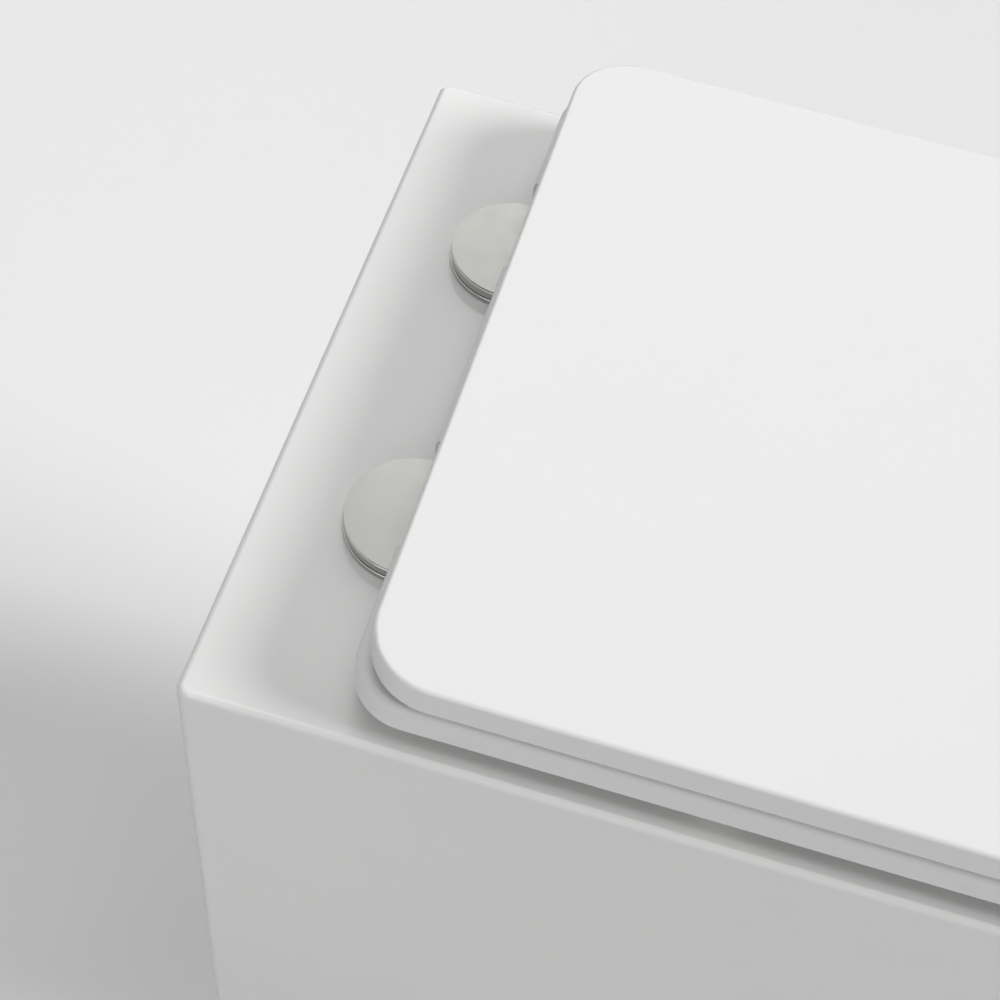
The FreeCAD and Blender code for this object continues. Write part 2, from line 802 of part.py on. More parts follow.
def is_window_corner(box, reach):
    """Is an edge's box a line through the divider at a window's outer corner?"""
    return box.XLength < 0.01 and box.ZLength < 0.01 and abs(abs(box.Center.x) - reach) < 0.01


def make_stud_fittings():
    """Sleeves, washers and nuts for the two wall studs. The studs belong to the wall frame."""
    wall = -D["rear_wall"]
    flange = D["sleeve_flange_thickness"]
    washer = D["washer_thickness"]
    washer_back = wall - flange - washer
    nut_back = washer_back - D["stud_nut_height"]
    sleeves, washers, nuts = [], [], []
    for side in SIDES.values():
        x = side * STUD_X
        barrel = rod(SLEEVE_R, D["rear_wall"], PLUS_Y, x, wall, 0)
        collar = rod(SLEEVE_R + D["sleeve_flange"], flange, PLUS_Y, x, wall - flange, 0)
        bore = rod(SLEEVE_BORE_R, D["rear_wall"] + flange + 2, PLUS_Y, x, wall - flange - 1, 0)
        sleeves.append(cut(fuse(barrel, collar), bore))
        plate = rod(D["washer_diameter"] / 2, washer, PLUS_Y, x, washer_back, 0)
        washers.append(cut(plate, rod(SLEEVE_BORE_R, washer + 2, PLUS_Y, x, washer_back - 1, 0)))
        nut = hexagon(D["stud_nut_flats"], D["stud_nut_height"], PLUS_Y, x, nut_back, 0)
        thread = rod(D["stud_diameter"] / 2, D["stud_nut_height"] + 2, PLUS_Y, x, nut_back - 1, 0)
        nuts.append(cut(nut, thread))
    finish("stud_sleeves", group(*sleeves))
    finish("stud_washers", group(*washers))
    finish("stud_nuts", group(*nuts))


def make_hinge_fixing():
    """Bolts, rubber dowels and cone nuts that hold the hinge feet in the deck."""
    foot_top = DECK + D["gasket_thickness"] + D["foot_thickness"]
    bolt_r = D["bolt_diameter"] / 2
    hole_r = bolt_r + D["bolt_hole_clearance"]
    dowel_r = D["hinge_hole"] / 2 - D["dowel_clearance"]
    dowel_end = DECK - D["dowel_length"]
    nut_end = dowel_end - D["cone_nut_height"]
    bolts, dowels, nuts = [], [], []
    for side in SIDES.values():
        x = side * HINGE_X
        head_bottom = foot_top - D["bolt_head_height"]
        head = cone(bolt_r, D["bolt_head"] / 2, D["bolt_head_height"], x, HINGE_Y, head_bottom)
        bolts.append(fuse(rod(bolt_r, foot_top - nut_end, PLUS_Z, x, HINGE_Y, nut_end), head))
        sleeve = rod(dowel_r, D["dowel_length"], PLUS_Z, x, HINGE_Y, dowel_end)
        dowels.append(cut(sleeve, rod(hole_r, D["dowel_length"] + 2, PLUS_Z, x, HINGE_Y, dowel_end - 1)))
        nut = cone(D["cone_nut_diameter"] / 2, dowel_r - 2, D["cone_nut_height"], x, HINGE_Y, nut_end)
        nuts.append(cut(nut, rod(bolt_r, D["cone_nut_height"] + 2, PLUS_Z, x, HINGE_Y, nut_end - 1)))
    finish("hinge_bolts", group(*bolts))
    finish("hinge_dowels", group(*dowels))
    finish("dowel_nuts", group(*nuts))


def make_hinge_side(name, side):
    """One hinge's gasket, foot, disc and pin."""
    x = side * HINGE_X
    foot_r = D["disc_diameter"] / 2 - D["disc_rim"] - D["foot_clearance"]
    foot_bottom = DECK + D["gasket_thickness"]
    foot_top = foot_bottom + D["foot_thickness"]
    bolt_r = D["bolt_diameter"] / 2 + D["bolt_hole_clearance"]
    head_bottom = foot_top - D["bolt_head_height"]
    gasket = cut(
        rod(foot_r, D["gasket_thickness"], PLUS_Z, x, HINGE_Y, DECK),
        rod(D["hinge_hole"] / 2, D["gasket_thickness"] + 2, PLUS_Z, x, HINGE_Y, DECK - 1),
    )
    finish(f"hinge_gasket_{name}", gasket)

    low, high = span(side, -POST_HALF, POST_HALF)
    foot = cut(
        make_neck(name, x, low, foot_r),
        rod(PIN_R, D["post_width"] + 2, PLUS_X, low - 1, AXIS_Y, AXIS_Z),
        rod(bolt_r, D["foot_thickness"] + 2, PLUS_Z, x, HINGE_Y, foot_bottom - 1),
        cone(bolt_r, D["bolt_head"] / 2, D["bolt_head_height"], x, HINGE_Y, head_bottom),
    )
    finish(f"hinge_foot_{name}", foot)
    make_disc(name, x, low, high)

    inner, outer = span(side, -KNUCKLE_FAR, KNUCKLE_FAR)
    finish(f"hinge_pin_{name}", rod(PIN_R, outer - inner, PLUS_X, inner, AXIS_Y, AXIS_Z))


def make_neck(name, x, low, foot_r):
    """A foot before drilling: a round plate with a bent neck that carries the hinge pin's boss."""
    body = document.addObject("PartDesign::Body", f"neck_{name}")
    bottom = DECK + D["gasket_thickness"]
    plate = new_sketch(body, "foot_plate", "XY_Plane", bottom)
    draw_circle(plate, x, HINGE_Y, foot_r)
    extrude(body, "Pad", plate, D["foot_thickness"])
    top = AXIS_Z + KNUCKLE_R
    under = AXIS_Z - D["arm_drop"]
    neck = new_sketch(body, "neck", "YZ_Plane", low)
    corners = [(POST_REAR, bottom), (POST_REAR, under), (AXIS_Y, under), (AXIS_Y, top), (POST_FRONT, top)]
    draw_polygon(neck, [(POST_FRONT, bottom), *corners])
    extrude(body, "Pad", neck, D["post_width"])
    round_edges(body, "neck_rounding", D["neck_bend"], lambda box: is_rail(box, POST_FRONT, top))
    round_edges(body, "neck_inner_rounding", D["neck_inner_bend"], lambda box: is_rail(box, POST_REAR, under))
    boss = new_sketch(body, "boss", "YZ_Plane", low)
    draw_circle(boss, AXIS_Y, AXIS_Z, KNUCKLE_R)
    extrude(body, "Pad", boss, D["post_width"])
    return body


def make_disc(name, x, low, high):
    """The polished cap over a foot: a shallow cup with a chamfer, a fine groove and the post's slot."""
    body = document.addObject("PartDesign::Body", f"disc_{name}")
    radius = D["disc_diameter"] / 2
    base = new_sketch(body, "disc_base", "XY_Plane", DECK)
    draw_circle(base, x, HINGE_Y, radius)
    extrude(body, "Pad", base, D["disc_height"])
    bevel_edges(body, "disc_bevel", D["disc_chamfer"], lambda box: is_level(box, DECK + D["disc_height"]))
    hollow = new_sketch(body, "disc_hollow", "XY_Plane", DECK)
    draw_circle(hollow, x, HINGE_Y, radius - D["disc_rim"])
    extrude(body, "Pocket", hollow, D["disc_height"] - D["disc_skin"], backwards=True)
    slot = new_sketch(body, "disc_slot", "XY_Plane", DECK)
    gap = D["disc_clearance"]
    draw_rectangle(slot, low - gap, POST_FRONT - gap, high + gap, POST_REAR + gap)
    extrude(body, "Pocket", slot, D["disc_height"] + 1, backwards=True)
    groove = new_sketch(body, "disc_groove", "XY_Plane", DECK + D["disc_groove_height"])
    draw_circle(groove, x, HINGE_Y, radius + 1)
    draw_circle(groove, x, HINGE_Y, radius - D["disc_groove"])
    extrude(body, "Pocket", groove, D["disc_groove"], backwards=True)
    finish(f"hinge_disc_{name}", body)


def make_leaf(name, side, near, far, plate_low, plate_high):
    """A hinge leaf: a knuckle on the axis, an arm and a plate with two countersunk screw holes."""
    low, high = span(side, near, far)
    above_axis = plate_low.value > AXIS_Z.value
    arm_front = NOTCH_FRONT - D["leaf_clearance"]
    arm_face, arm_back = (plate_low, plate_high) if above_axis else (plate_high, plate_low)
    body = document.addObject("PartDesign::Body", f"{name}_body")
    arm = new_sketch(body, "leaf_arm", "YZ_Plane", low)
    corners = [(LEAF_FRONT, arm_face), (arm_front, arm_face), (arm_front, AXIS_Z), (AXIS_Y, AXIS_Z)]
    draw_polygon(arm, [(LEAF_FRONT, arm_back), *corners, (AXIS_Y, arm_back)])
    extrude(body, "Pad", arm, high - low)
    for height in (AXIS_Z, arm_face):
        round_edges(body, "leaf_bend", D["leaf_bend"], lambda box: is_rail(box, arm_front, height))
    round_edges(body, "leaf_corners", D["leaf_corner"], is_leaf_corner)
    knuckle = new_sketch(body, "leaf_knuckle", "YZ_Plane", low)
    draw_circle(knuckle, AXIS_Y, AXIS_Z, KNUCKLE_R)
    extrude(body, "Pad", knuckle, high - low)
    holes = [rod(BUSH_R + D["bush_clearance"], high - low + 2, PLUS_X, low - 1, AXIS_Y, AXIS_Z)]
    head_rise = plate_low if above_axis else plate_high - SCREW_HEAD
    for y in leaf_screw_places():
        middle = (low + high) / 2
        holes.append(rod(SCREW_R, plate_high - plate_low + 2, PLUS_Z, middle, y, plate_low - 1))
        holes.append(screw_head(above_axis, middle, y, head_rise))
    return finish(name, cut(body, *holes))


def screw_head(wide_end_down, x, y, z):
    """A countersunk screw head, or the sink that takes it."""
    ends = (SCREW_R + SCREW_HEAD, SCREW_R)
    return cone(*(ends if wide_end_down else ends[::-1]), SCREW_HEAD, x, y, z)


def is_leaf_corner(box):
    """Is an edge's box an upright line at the front of a leaf's plate?"""
    return box.XLength < 0.01 and box.YLength < 0.01 and abs(box.YMin - LEAF_FRONT.value) < 0.01


def leaf_screw_places():
    """The two screws' places along a leaf's plate."""
    middle = (LEAF_FRONT + NOTCH_FRONT) / 2
    return (middle - D["leaf_screw_pitch"] / 2, middle + D["leaf_screw_pitch"] / 2)


def make_bush(name, side, near, far):
    """A bush or damper cartridge that turns on the hinge pin inside a knuckle."""
    low, high = span(side, near, far)
    bush = rod(BUSH_R, high - low, PLUS_X, low, AXIS_Y, AXIS_Z)
    bore = rod(BUSH_BORE_R, high - low + 2, PLUS_X, low - 1, AXIS_Y, AXIS_Z)
    finish(name, cut(bush, bore))


def make_leaves():
    """The leaves of seat and lid with their bushes, dampers and screws."""
    seat_ends = (-KNUCKLE_FAR, -KNUCKLE_NEAR)
    lid_ends = (KNUCKLE_NEAR, KNUCKLE_FAR)
    seat_plate = (SEAT_TOP - D["leaf_thickness"], SEAT_TOP)
    lid_plate = (LID_UNDERSIDE - D["leaf_thickness"], LID_UNDERSIDE)
    seat_screws, lid_screws = [], []
    for name, side in SIDES.items():
        make_leaf(f"seat_leaf_{name}", side, *seat_ends, *seat_plate)
        make_leaf(f"lid_leaf_{name}", side, *lid_ends, *lid_plate)
        seat_x = sum(span(side, *seat_ends), as_size(0)) / 2
        lid_x = sum(span(side, *lid_ends), as_size(0)) / 2
        for y in leaf_screw_places():
            length = D["leaf_screw_length"] + D["leaf_thickness"]
            shank = rod(SCREW_R, length, PLUS_Z, seat_x, y, SEAT_TOP - length)
            seat_screws.append(fuse(shank, screw_head(False, seat_x, y, SEAT_TOP - SCREW_HEAD)))
            length = D["lid_screw_bite"] + D["leaf_thickness"]
            shank = rod(SCREW_R, length, PLUS_Z, lid_x, y, lid_plate[0])
            lid_screws.append(fuse(shank, screw_head(True, lid_x, y, lid_plate[0])))
    make_bush("seat_damper", SIDES["right"], *seat_ends)
    make_bush("seat_bush", SIDES["left"], *seat_ends)
    make_bush("lid_damper", SIDES["left"], *lid_ends)
    make_bush("lid_bush", SIDES["right"], *lid_ends)
    finish("seat_screws", group(*seat_screws))
    finish("lid_screws", group(*lid_screws))


def seat_outline():
    """The seat ring's plan outline."""
    return replace(
        pan_outline().inset(D["seat_inset"]), rear=-D["seat_setback"], rear_corner=D["seat_corner"]
    )


def lid_outline():
    """The lid's plan outline."""
    return replace(pan_outline().inset(D["lid_inset"]), rear=-D["lid_setback"], rear_corner=D["lid_corner"])


def seat_hole_outline():
    """The plan outline of the hole in the seat ring."""
    return Outline(
        D["opening_half"],
        -D["opening_setback"],
        -D["opening_front"],
        D["opening_rear_corner"],
        D["front_spread"],
        D["front_bow"],
    )


def make_seat():
    """The seat ring with its rounded edges, hinge notches, leaf recesses and buffer sockets."""
    body = document.addObject("PartDesign::Body", "seat")
    ring = new_sketch(body, "seat_plan", "XY_Plane", SEAT_BOTTOM)
    draw_outline(ring, seat_outline())
    extrude(body, "Pad", ring, D["seat_thickness"])
    round_edges(body, "seat_rounding", D["seat_edge"], lambda box: is_level(box, SEAT_TOP))
    round_edges(body, "seat_lower_rounding", D["seat_lower_edge"], lambda box: is_level(box, SEAT_BOTTOM))
    hole = new_sketch(body, "seat_hole", "XY_Plane", SEAT_TOP)
    inside = seat_hole_outline()
    draw_outline(hole, inside)
    extrude(body, "Pocket", hole, D["seat_thickness"] + 1)
    for level, radius in ((SEAT_TOP, D["seat_inner_edge"]), (SEAT_BOTTOM, D["seat_edge"])):
        round_edges(
            body, "seat_inner_rounding", radius, lambda box: is_level(box, level) and is_within(box, inside)
        )
    notches = new_sketch(body, "seat_notches", "XY_Plane", SEAT_TOP)
    recesses = new_sketch(body, "seat_recesses", "XY_Plane", SEAT_TOP)
    pilots = new_sketch(body, "seat_pilots", "XY_Plane", SEAT_TOP)
    sockets = new_sketch(body, "seat_sockets", "XY_Plane", SEAT_BOTTOM)
    gap = D["leaf_clearance"]
    for side in SIDES.values():
        low, high = span(side, -NOTCH_HALF, NOTCH_HALF)
        draw_rectangle(notches, low, NOTCH_FRONT, high, -D["seat_setback"] + 1)
        low, high = span(side, -KNUCKLE_FAR, -KNUCKLE_NEAR)
        draw_rectangle(recesses, low - gap, LEAF_FRONT - gap, high + gap, NOTCH_FRONT + 1)
        for y in leaf_screw_places():
            draw_circle(pilots, (low + high) / 2, y, D["leaf_screw_diameter"] / 2)
        for y in (-D["buffer_rear"], -D["buffer_front"]):
            draw_circle(sockets, side * D["buffer_reach"], y, D["buffer_stem"] / 2 + D["buffer_clearance"])
    extrude(body, "Pocket", notches, D["seat_thickness"] + 1)
    extrude(body, "Pocket", recesses, D["leaf_thickness"])
    extrude(body, "Pocket", pilots, D["leaf_thickness"] + D["leaf_screw_length"])
    extrude(body, "Pocket", sockets, D["buffer_stem_length"], backwards=True)
    return finish("seat_ring", body)


def make_lid():
    """The lid: a dished cover with a rim all round, open at the hinges, and bosses for its buffers."""
    body = document.addObject("PartDesign::Body", "lid")
    plan = new_sketch(body, "lid_plan", "XY_Plane", LID_BOTTOM)
    draw_outline(plan, lid_outline())
    extrude(body, "Pad", plan, D["lid_thickness"])
    round_edges(body, "lid_rounding", D["lid_edge"], lambda box: is_level(box, LID_TOP))
    round_edges(body, "lid_lower_rounding", D["lid_lower_edge"], lambda box: is_level(box, LID_BOTTOM))
    dish = new_sketch(body, "lid_dish", "XY_Plane", LID_BOTTOM)
    draw_outline(dish, lid_outline().inset(D["lid_rim"]))
    hollow = D["lid_thickness"] - D["lid_skin"]
    extrude(body, "Pocket", dish, hollow, backwards=True)
    bosses = new_sketch(body, "lid_bosses", "XY_Plane", LID_BOTTOM)
    sockets = new_sketch(body, "lid_sockets", "XY_Plane", LID_BOTTOM)
    gaps = new_sketch(body, "lid_gaps", "XY_Plane", LID_BOTTOM)
    pilots = new_sketch(body, "lid_pilots", "XY_Plane", LID_UNDERSIDE)
    stem_r = D["lid_buffer_stem"] / 2
    for side in SIDES.values():
        for y in (-D["lid_buffer_rear"], -D["lid_buffer_front"]):
            draw_circle(bosses, side * D["lid_buffer_reach"], y, stem_r + D["buffer_boss_wall"])
            draw_circle(sockets, side * D["lid_buffer_reach"], y, stem_r + D["buffer_clearance"])
        low, high = span(side, -NOTCH_HALF, NOTCH_HALF)
        draw_rectangle(gaps, low, AXIS_Y - KNUCKLE_R, high, -D["lid_setback"] + 1)
        low, high = span(side, KNUCKLE_NEAR, KNUCKLE_FAR)
        for y in leaf_screw_places():
            draw_circle(pilots, (low + high) / 2, y, D["leaf_screw_diameter"] / 2)
    extrude(body, "Pad", bosses, hollow + D["lid_skin"] / 2)
    extrude(body, "Pocket", sockets, D["buffer_stem_length"], backwards=True)
    extrude(body, "Pocket", gaps, hollow, backwards=True)
    extrude(body, "Pocket", pilots, D["lid_screw_bite"], backwards=True)
    return finish("lid_cover", body)


def make_buffers():
    """Rubber buffers under the seat and under the lid, each a pad with a stem in its socket."""
    stem = D["buffer_stem_length"]
    rows = {
        "seat_buffers": (
            D["buffer_diameter"], D["buffer_stem"], DECK, D["seat_lift"],
            D["buffer_reach"], (D["buffer_rear"], D["buffer_front"]),
        ),
        "lid_buffers": (
            D["lid_buffer_diameter"], D["lid_buffer_stem"], SEAT_TOP, D["lid_gap"],
            D["lid_buffer_reach"], (D["lid_buffer_rear"], D["lid_buffer_front"]),
        ),
    }
    for name, (diameter, stem_diameter, bottom, height, reach, places) in rows.items():
        buffers = []
        for side in SIDES.values():
            for y in places:
                pad = rod(diameter / 2, height, PLUS_Z, side * reach, -y, bottom)
                plug = rod(stem_diameter / 2, height + stem, PLUS_Z, side * reach, -y, bottom)
                buffers.append(fuse(pad, plug))
        finish(name, group(*buffers))


def check_items():
    """Stops if any item of the document failed or any finished piece isn't a sound solid."""
    for item in document.Objects:
        if "Invalid" in item.State or "Error" in item.State:
            raise RuntimeError(f"{item.Label} ({item.Name}) failed: {item.State}")
    for item in pieces:
        if item.Shape.isNull() or not item.Shape.isValid() or not item.Shape.Solids:
            raise RuntimeError(f"{item.Label} isn't a sound solid")


def export_pieces():
    """Writes one STEP file for each piece."""
    os.makedirs("parts", exist_ok=True)
    for item in pieces:
        item.Shape.exportStep(f"parts/{item.Label}.step")
        print(f"{item.Label}: {len(item.Shape.Solids)} solids, {item.Shape.Volume / 1000:.1f} cm3")


def main():
    make_pan()
    make_flush_fittings()
    make_stud_fittings()
    make_hinge_fixing()
    for name, side in SIDES.items():
        make_hinge_side(name, side)
    make_seat()
    make_lid()
    make_leaves()
    make_buffers()
    document.recompute()
    check_items()
    export_pieces()


main()
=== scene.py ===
"""Dresses the wall hung toilet: finishes, small turned and moulded pieces, studio and camera."""

import logging
import math
from dataclasses import dataclass, field
from enum import Enum
from typing import Any, Iterable, Sequence

import bmesh
import bpy
from mathutils import Matrix, Vector


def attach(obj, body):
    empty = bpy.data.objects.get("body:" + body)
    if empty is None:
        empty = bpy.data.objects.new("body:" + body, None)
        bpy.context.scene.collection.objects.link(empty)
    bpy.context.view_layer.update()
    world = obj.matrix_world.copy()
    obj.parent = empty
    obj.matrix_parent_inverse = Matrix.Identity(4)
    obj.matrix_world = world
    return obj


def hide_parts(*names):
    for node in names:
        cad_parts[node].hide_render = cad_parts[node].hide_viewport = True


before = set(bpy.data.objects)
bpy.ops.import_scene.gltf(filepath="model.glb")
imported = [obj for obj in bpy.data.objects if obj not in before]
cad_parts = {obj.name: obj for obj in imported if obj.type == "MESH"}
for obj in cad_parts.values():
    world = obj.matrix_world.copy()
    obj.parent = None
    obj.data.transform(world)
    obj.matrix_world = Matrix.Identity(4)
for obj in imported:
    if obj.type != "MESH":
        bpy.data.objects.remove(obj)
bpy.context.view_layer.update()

LOG = logging.getLogger("toilet")

MM = 0.001
# A length that counts as nothing.
TINY = 1e-5
# Edges that bend more than this many degrees stay sharp.
SHARP_DEG = 40.0
# Half the angle, in degrees, of a corner that is too flat to round.
FLAT_CORNER_DEG = 87.0
# The most of an edge that one rounding takes up.
EDGE_SHARE = 0.45
# How many lines draw one rib.
RIB_STEPS = 10
# How far a cutting tool stands past the piece that it cuts, in millimetres.
OVERSHOOT = 1.0
# A Mix node's two inputs and its output, for colours and for plain numbers.
COLOUR_SOCKETS = (6, 7, 2)
NUMBER_SOCKETS = (2, 3, 0)

Spot = tuple[float, float]
Point = tuple[float, float, float]
Profile = Sequence[Spot]


class Body(Enum):
    """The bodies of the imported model."""

    PAN = "pan"
    SEAT = "seat"
    LID = "lid"


class Slot(Enum):
    """Names for the material slots of the pieces that are made here."""

    CHROME = "chrome"
    STEEL = "steel"
    RUBBER = "rubber"
    CLEAR_RUBBER = "clear_rubber"


class Axis(Enum):
    """The direction that a turned piece's profile runs along."""

    UP = "z"
    DOWN = "-z"
    ACROSS = "x"
    TO_FRONT = "-y"


TURNS: dict[Axis, Matrix] = {
    Axis.UP: Matrix.Identity(4),
    Axis.DOWN: Matrix.Rotation(math.pi, 4, "X"),
    Axis.ACROSS: Matrix.Rotation(math.pi / 2, 4, "Y"),
    Axis.TO_FRONT: Matrix.Rotation(math.pi / 2, 4, "X"),
}


def linear(hex_colour: str) -> tuple[float, float, float, float]:
    """Turns an sRGB hex colour to linear light.

    Args:
        hex_colour: A colour such as "#F0F0EE".

    Returns:
        Red, green, blue and an alpha of 1.
    """
    parts = [int(hex_colour[i : i + 2], 16) / 255 for i in (1, 3, 5)]
    values = [c / 12.92 if c <= 0.04045 else ((c + 0.055) / 1.055) ** 2.4 for c in parts]
    return (*values, 1.0)


def add_node(
    tree: bpy.types.NodeTree,
    kind: str,
    settings: dict[str, Any] | None = None,
    inputs: dict[Any, Any] | None = None,
) -> bpy.types.Node:
    """Adds a node with its settings and links.

    Args:
        tree: The node tree.
        kind: The node's type.
        settings: Values of the node's own properties.
        inputs: For each input's name or number, a value or a socket to link from.

    Returns:
        The new node.
    """
    node = tree.nodes.new(kind)
    for name, value in (settings or {}).items():
        setattr(node, name, value)
    for name, value in (inputs or {}).items():
        if isinstance(value, bpy.types.NodeSocket):
            tree.links.new(value, node.inputs[name])
        else:
            node.inputs[name].default_value = value
    return node


def seen_rays(tree: bpy.types.NodeTree) -> bpy.types.NodeSocket:
    """Marks the rays that show the stage to the camera, to gloss and through glass.

    Args:
        tree: The node tree.

    Returns:
        A socket that is 1 for such a ray and 0 for the light that a surface gathers.
    """
    path = add_node(tree, "ShaderNodeLightPath").outputs
    seen = path["Is Camera Ray"]
    for kind in ("Is Glossy Ray", "Is Transmission Ray"):
        either = add_node(
            tree, "ShaderNodeMath", {"operation": "MAXIMUM"}, {0: seen, 1: path[kind]}
        )
        seen = either.outputs[0]
    return seen


def toward(azimuth_deg: float, elevation_deg: float) -> Vector:
    """Points from the toilet to a place around it.

    Args:
        azimuth_deg: The angle from the front, to the right.
        elevation_deg: The angle above the horizon.

    Returns:
        The direction, of length 1.
    """
    azimuth, elevation = math.radians(azimuth_deg), math.radians(elevation_deg)
    flat = math.cos(elevation)
    return Vector((math.sin(azimuth) * flat, -math.cos(azimuth) * flat, math.sin(elevation)))


@dataclass(frozen=True)
class Finish:
    """A surface with cloudy colour, uneven gloss and a fine relief, each at its real size."""

    name: str
    colour: str
    second_colour: str
    cloud_mm: float
    roughness: tuple[float, float]
    relief_mm: float
    relief_depth_mm: float
    wave_mm: float = 60.0
    wave_depth_mm: float = 0.0
    metallic: float = 0.0
    ior: float = 1.5
    subsurface: float = 0.0
    subsurface_mm: float = 3.0
    # How fine each noise is, and the part of the cloud's range that the gloss spreads over.
    cloud_detail: float = 4.0
    cloud_roughness: float = 0.55
    cloud_range: tuple[float, float] = (0.3, 0.7)
    wave_detail: float = 1.0
    relief_detail: float = 2.0

    def surface(self) -> tuple[bpy.types.Material, bpy.types.NodeTree, bpy.types.Node]:
        """Makes the material with its cloud, gloss and relief nodes.

        Returns:
            The material, its node tree and its shader node.
        """
        material = bpy.data.materials.new(self.name)
        material.use_nodes = True
        tree = material.node_tree
        shader = tree.nodes["Principled BSDF"]
        place = add_node(tree, "ShaderNodeTexCoord").outputs["Object"]

        cloud = add_node(
            tree,
            "ShaderNodeTexNoise",
            inputs={
                "Vector": place,
                "Scale": 1 / (self.cloud_mm * MM),
                "Detail": self.cloud_detail,
                "Roughness": self.cloud_roughness,
            },
        ).outputs["Fac"]
        first, second, out = COLOUR_SOCKETS
        colour = add_node(
            tree,
            "ShaderNodeMix",
            settings={"data_type": "RGBA"},
            inputs={
                "Factor": cloud,
                first: linear(self.colour),
                second: linear(self.second_colour),
            },
        )
        tree.links.new(colour.outputs[out], shader.inputs["Base Color"])

        gloss = add_node(
            tree,
            "ShaderNodeMapRange",
            inputs={
                "Value": cloud,
                "From Min": self.cloud_range[0],
                "From Max": self.cloud_range[1],
                "To Min": self.roughness[0],
                "To Max": self.roughness[1],
            },
        )
        tree.links.new(gloss.outputs["Result"], shader.inputs["Roughness"])

        normal = None
        for size, depth, detail in (
            (self.wave_mm, self.wave_depth_mm, self.wave_detail),
            (self.relief_mm, self.relief_depth_mm, self.relief_detail),
        ):
            if depth <= 0:
                continue
            noise = add_node(
                tree,
                "ShaderNodeTexNoise",
                inputs={"Vector": place, "Scale": 1 / (size * MM), "Detail": detail},
            )
            bump = add_node(
                tree,
                "ShaderNodeBump",
                inputs={"Strength": 1.0, "Distance": depth * MM, "Height": noise.outputs["Fac"]},
            )
            if normal is not None:
                tree.links.new(normal, bump.inputs["Normal"])
            normal = bump.outputs["Normal"]
        if normal is not None:
            tree.links.new(normal, shader.inputs["Normal"])

        # A metal keeps the default IOR.
        shader.inputs["Metallic"].default_value = self.metallic
        if self.metallic == 0:
            shader.inputs["IOR"].default_value = self.ior
        if self.subsurface > 0:
            shader.inputs["Subsurface Weight"].default_value = self.subsurface
            shader.inputs["Subsurface Radius"].default_value = (self.subsurface_mm * MM,) * 3
        return material, tree, shader

    def make(self) -> bpy.types.Material:
        """Makes the material."""
        return self.surface()[0]


@dataclass(frozen=True)
class GlazedFinish(Finish):
    """A glaze that stops at the back face, which is ground flat and left bare."""

    bare: str = "#EBE8E1"
    bare_roughness: float = 0.8
    ground_mm: float = 0.3

    def make(self) -> bpy.types.Material:
        """Makes the material and bares it on the face at the wall.

        Returns:
            The material.
        """
        material, tree, shader = self.surface()
        place = add_node(tree, "ShaderNodeTexCoord").outputs["Object"]
        depth = add_node(tree, "ShaderNodeSeparateXYZ", inputs={"Vector": place}).outputs["Y"]
        ground = add_node(
            tree,
            "ShaderNodeMath",
            settings={"operation": "GREATER_THAN"},
            inputs={0: depth, 1: -self.ground_mm * MM},
        ).outputs[0]
        for name, kind, (first, second, out), bare in (
            ("Base Color", "RGBA", COLOUR_SOCKETS, linear(self.bare)),
            ("Roughness", "FLOAT", NUMBER_SOCKETS, self.bare_roughness),
        ):
            glazed = shader.inputs[name].links[0].from_socket
            mixed = add_node(
                tree,
                "ShaderNodeMix",
                settings={"data_type": kind},
                inputs={"Factor": ground, first: glazed, second: bare},
            )
            tree.links.new(mixed.outputs[out], shader.inputs[name])
        return material


@dataclass(frozen=True)
class StageFinish(Finish):
    """A pale stage that sends less light back to the object than the camera sees."""

    bounce: str = "#808080"

    def make(self) -> bpy.types.Material:
        """Makes the material and dims what it gives to the light that a surface gathers.

        Returns:
            The material.
        """
        material, tree, shader = self.surface()
        first, second, out = COLOUR_SOCKETS
        pale = shader.inputs["Base Color"].links[0].from_socket
        colour = add_node(
            tree,
            "ShaderNodeMix",
            settings={"data_type": "RGBA"},
            inputs={"Factor": seen_rays(tree), first: linear(self.bounce), second: pale},
        )
        tree.links.new(colour.outputs[out], shader.inputs["Base Color"])
        return material


# Vitreous china, sprayed with white glaze and fired: deep gloss with a slow waviness in
# reflections, and a matt, cream ground face at the back.
SANITARY_GLAZE = GlazedFinish(
    name="vitreous_china_glazed",
    colour="#F2F2F1",
    second_colour="#F5F5F4",
    cloud_mm=45,
    roughness=(0.10, 0.16),
    relief_mm=5,
    relief_depth_mm=0.004,
    wave_mm=70,
    wave_depth_mm=0.12,
    ior=1.52,
)

# Urea thermoset, compression moulded and polished: clean white with a softer gloss than the glaze.
MOULDED_THERMOSET = Finish(
    name="urea_thermoset_moulded",
    colour="#EFEEEE",
    second_colour="#F2F1F1",
    cloud_mm=60,
    roughness=(0.28, 0.34),
    relief_mm=1.2,
    relief_depth_mm=0.0015,
    wave_mm=90,
    wave_depth_mm=0.05,
    ior=1.55,
)

# Chrome plate over a bead blasted top: a soft grey sheen that carries no clear reflections.
SATIN_CHROME = Finish(
    name="chrome_plate_satin",
    colour="#A5A5A1",
    second_colour="#ABABA8",
    cloud_mm=9,
    roughness=(0.42, 0.50),
    relief_mm=0.6,
    relief_depth_mm=0.004,
    metallic=1.0,
)

# Chrome plate over a polished edge: bright and dark lines run round it.
POLISHED_CHROME = Finish(
    name="chrome_plate_polished",
    colour="#B0B0AF",
    second_colour="#B8B8B6",
    cloud_mm=12,
    roughness=(0.05, 0.10),
    relief_mm=2.0,
    relief_depth_mm=0.001,
    metallic=1.0,
)

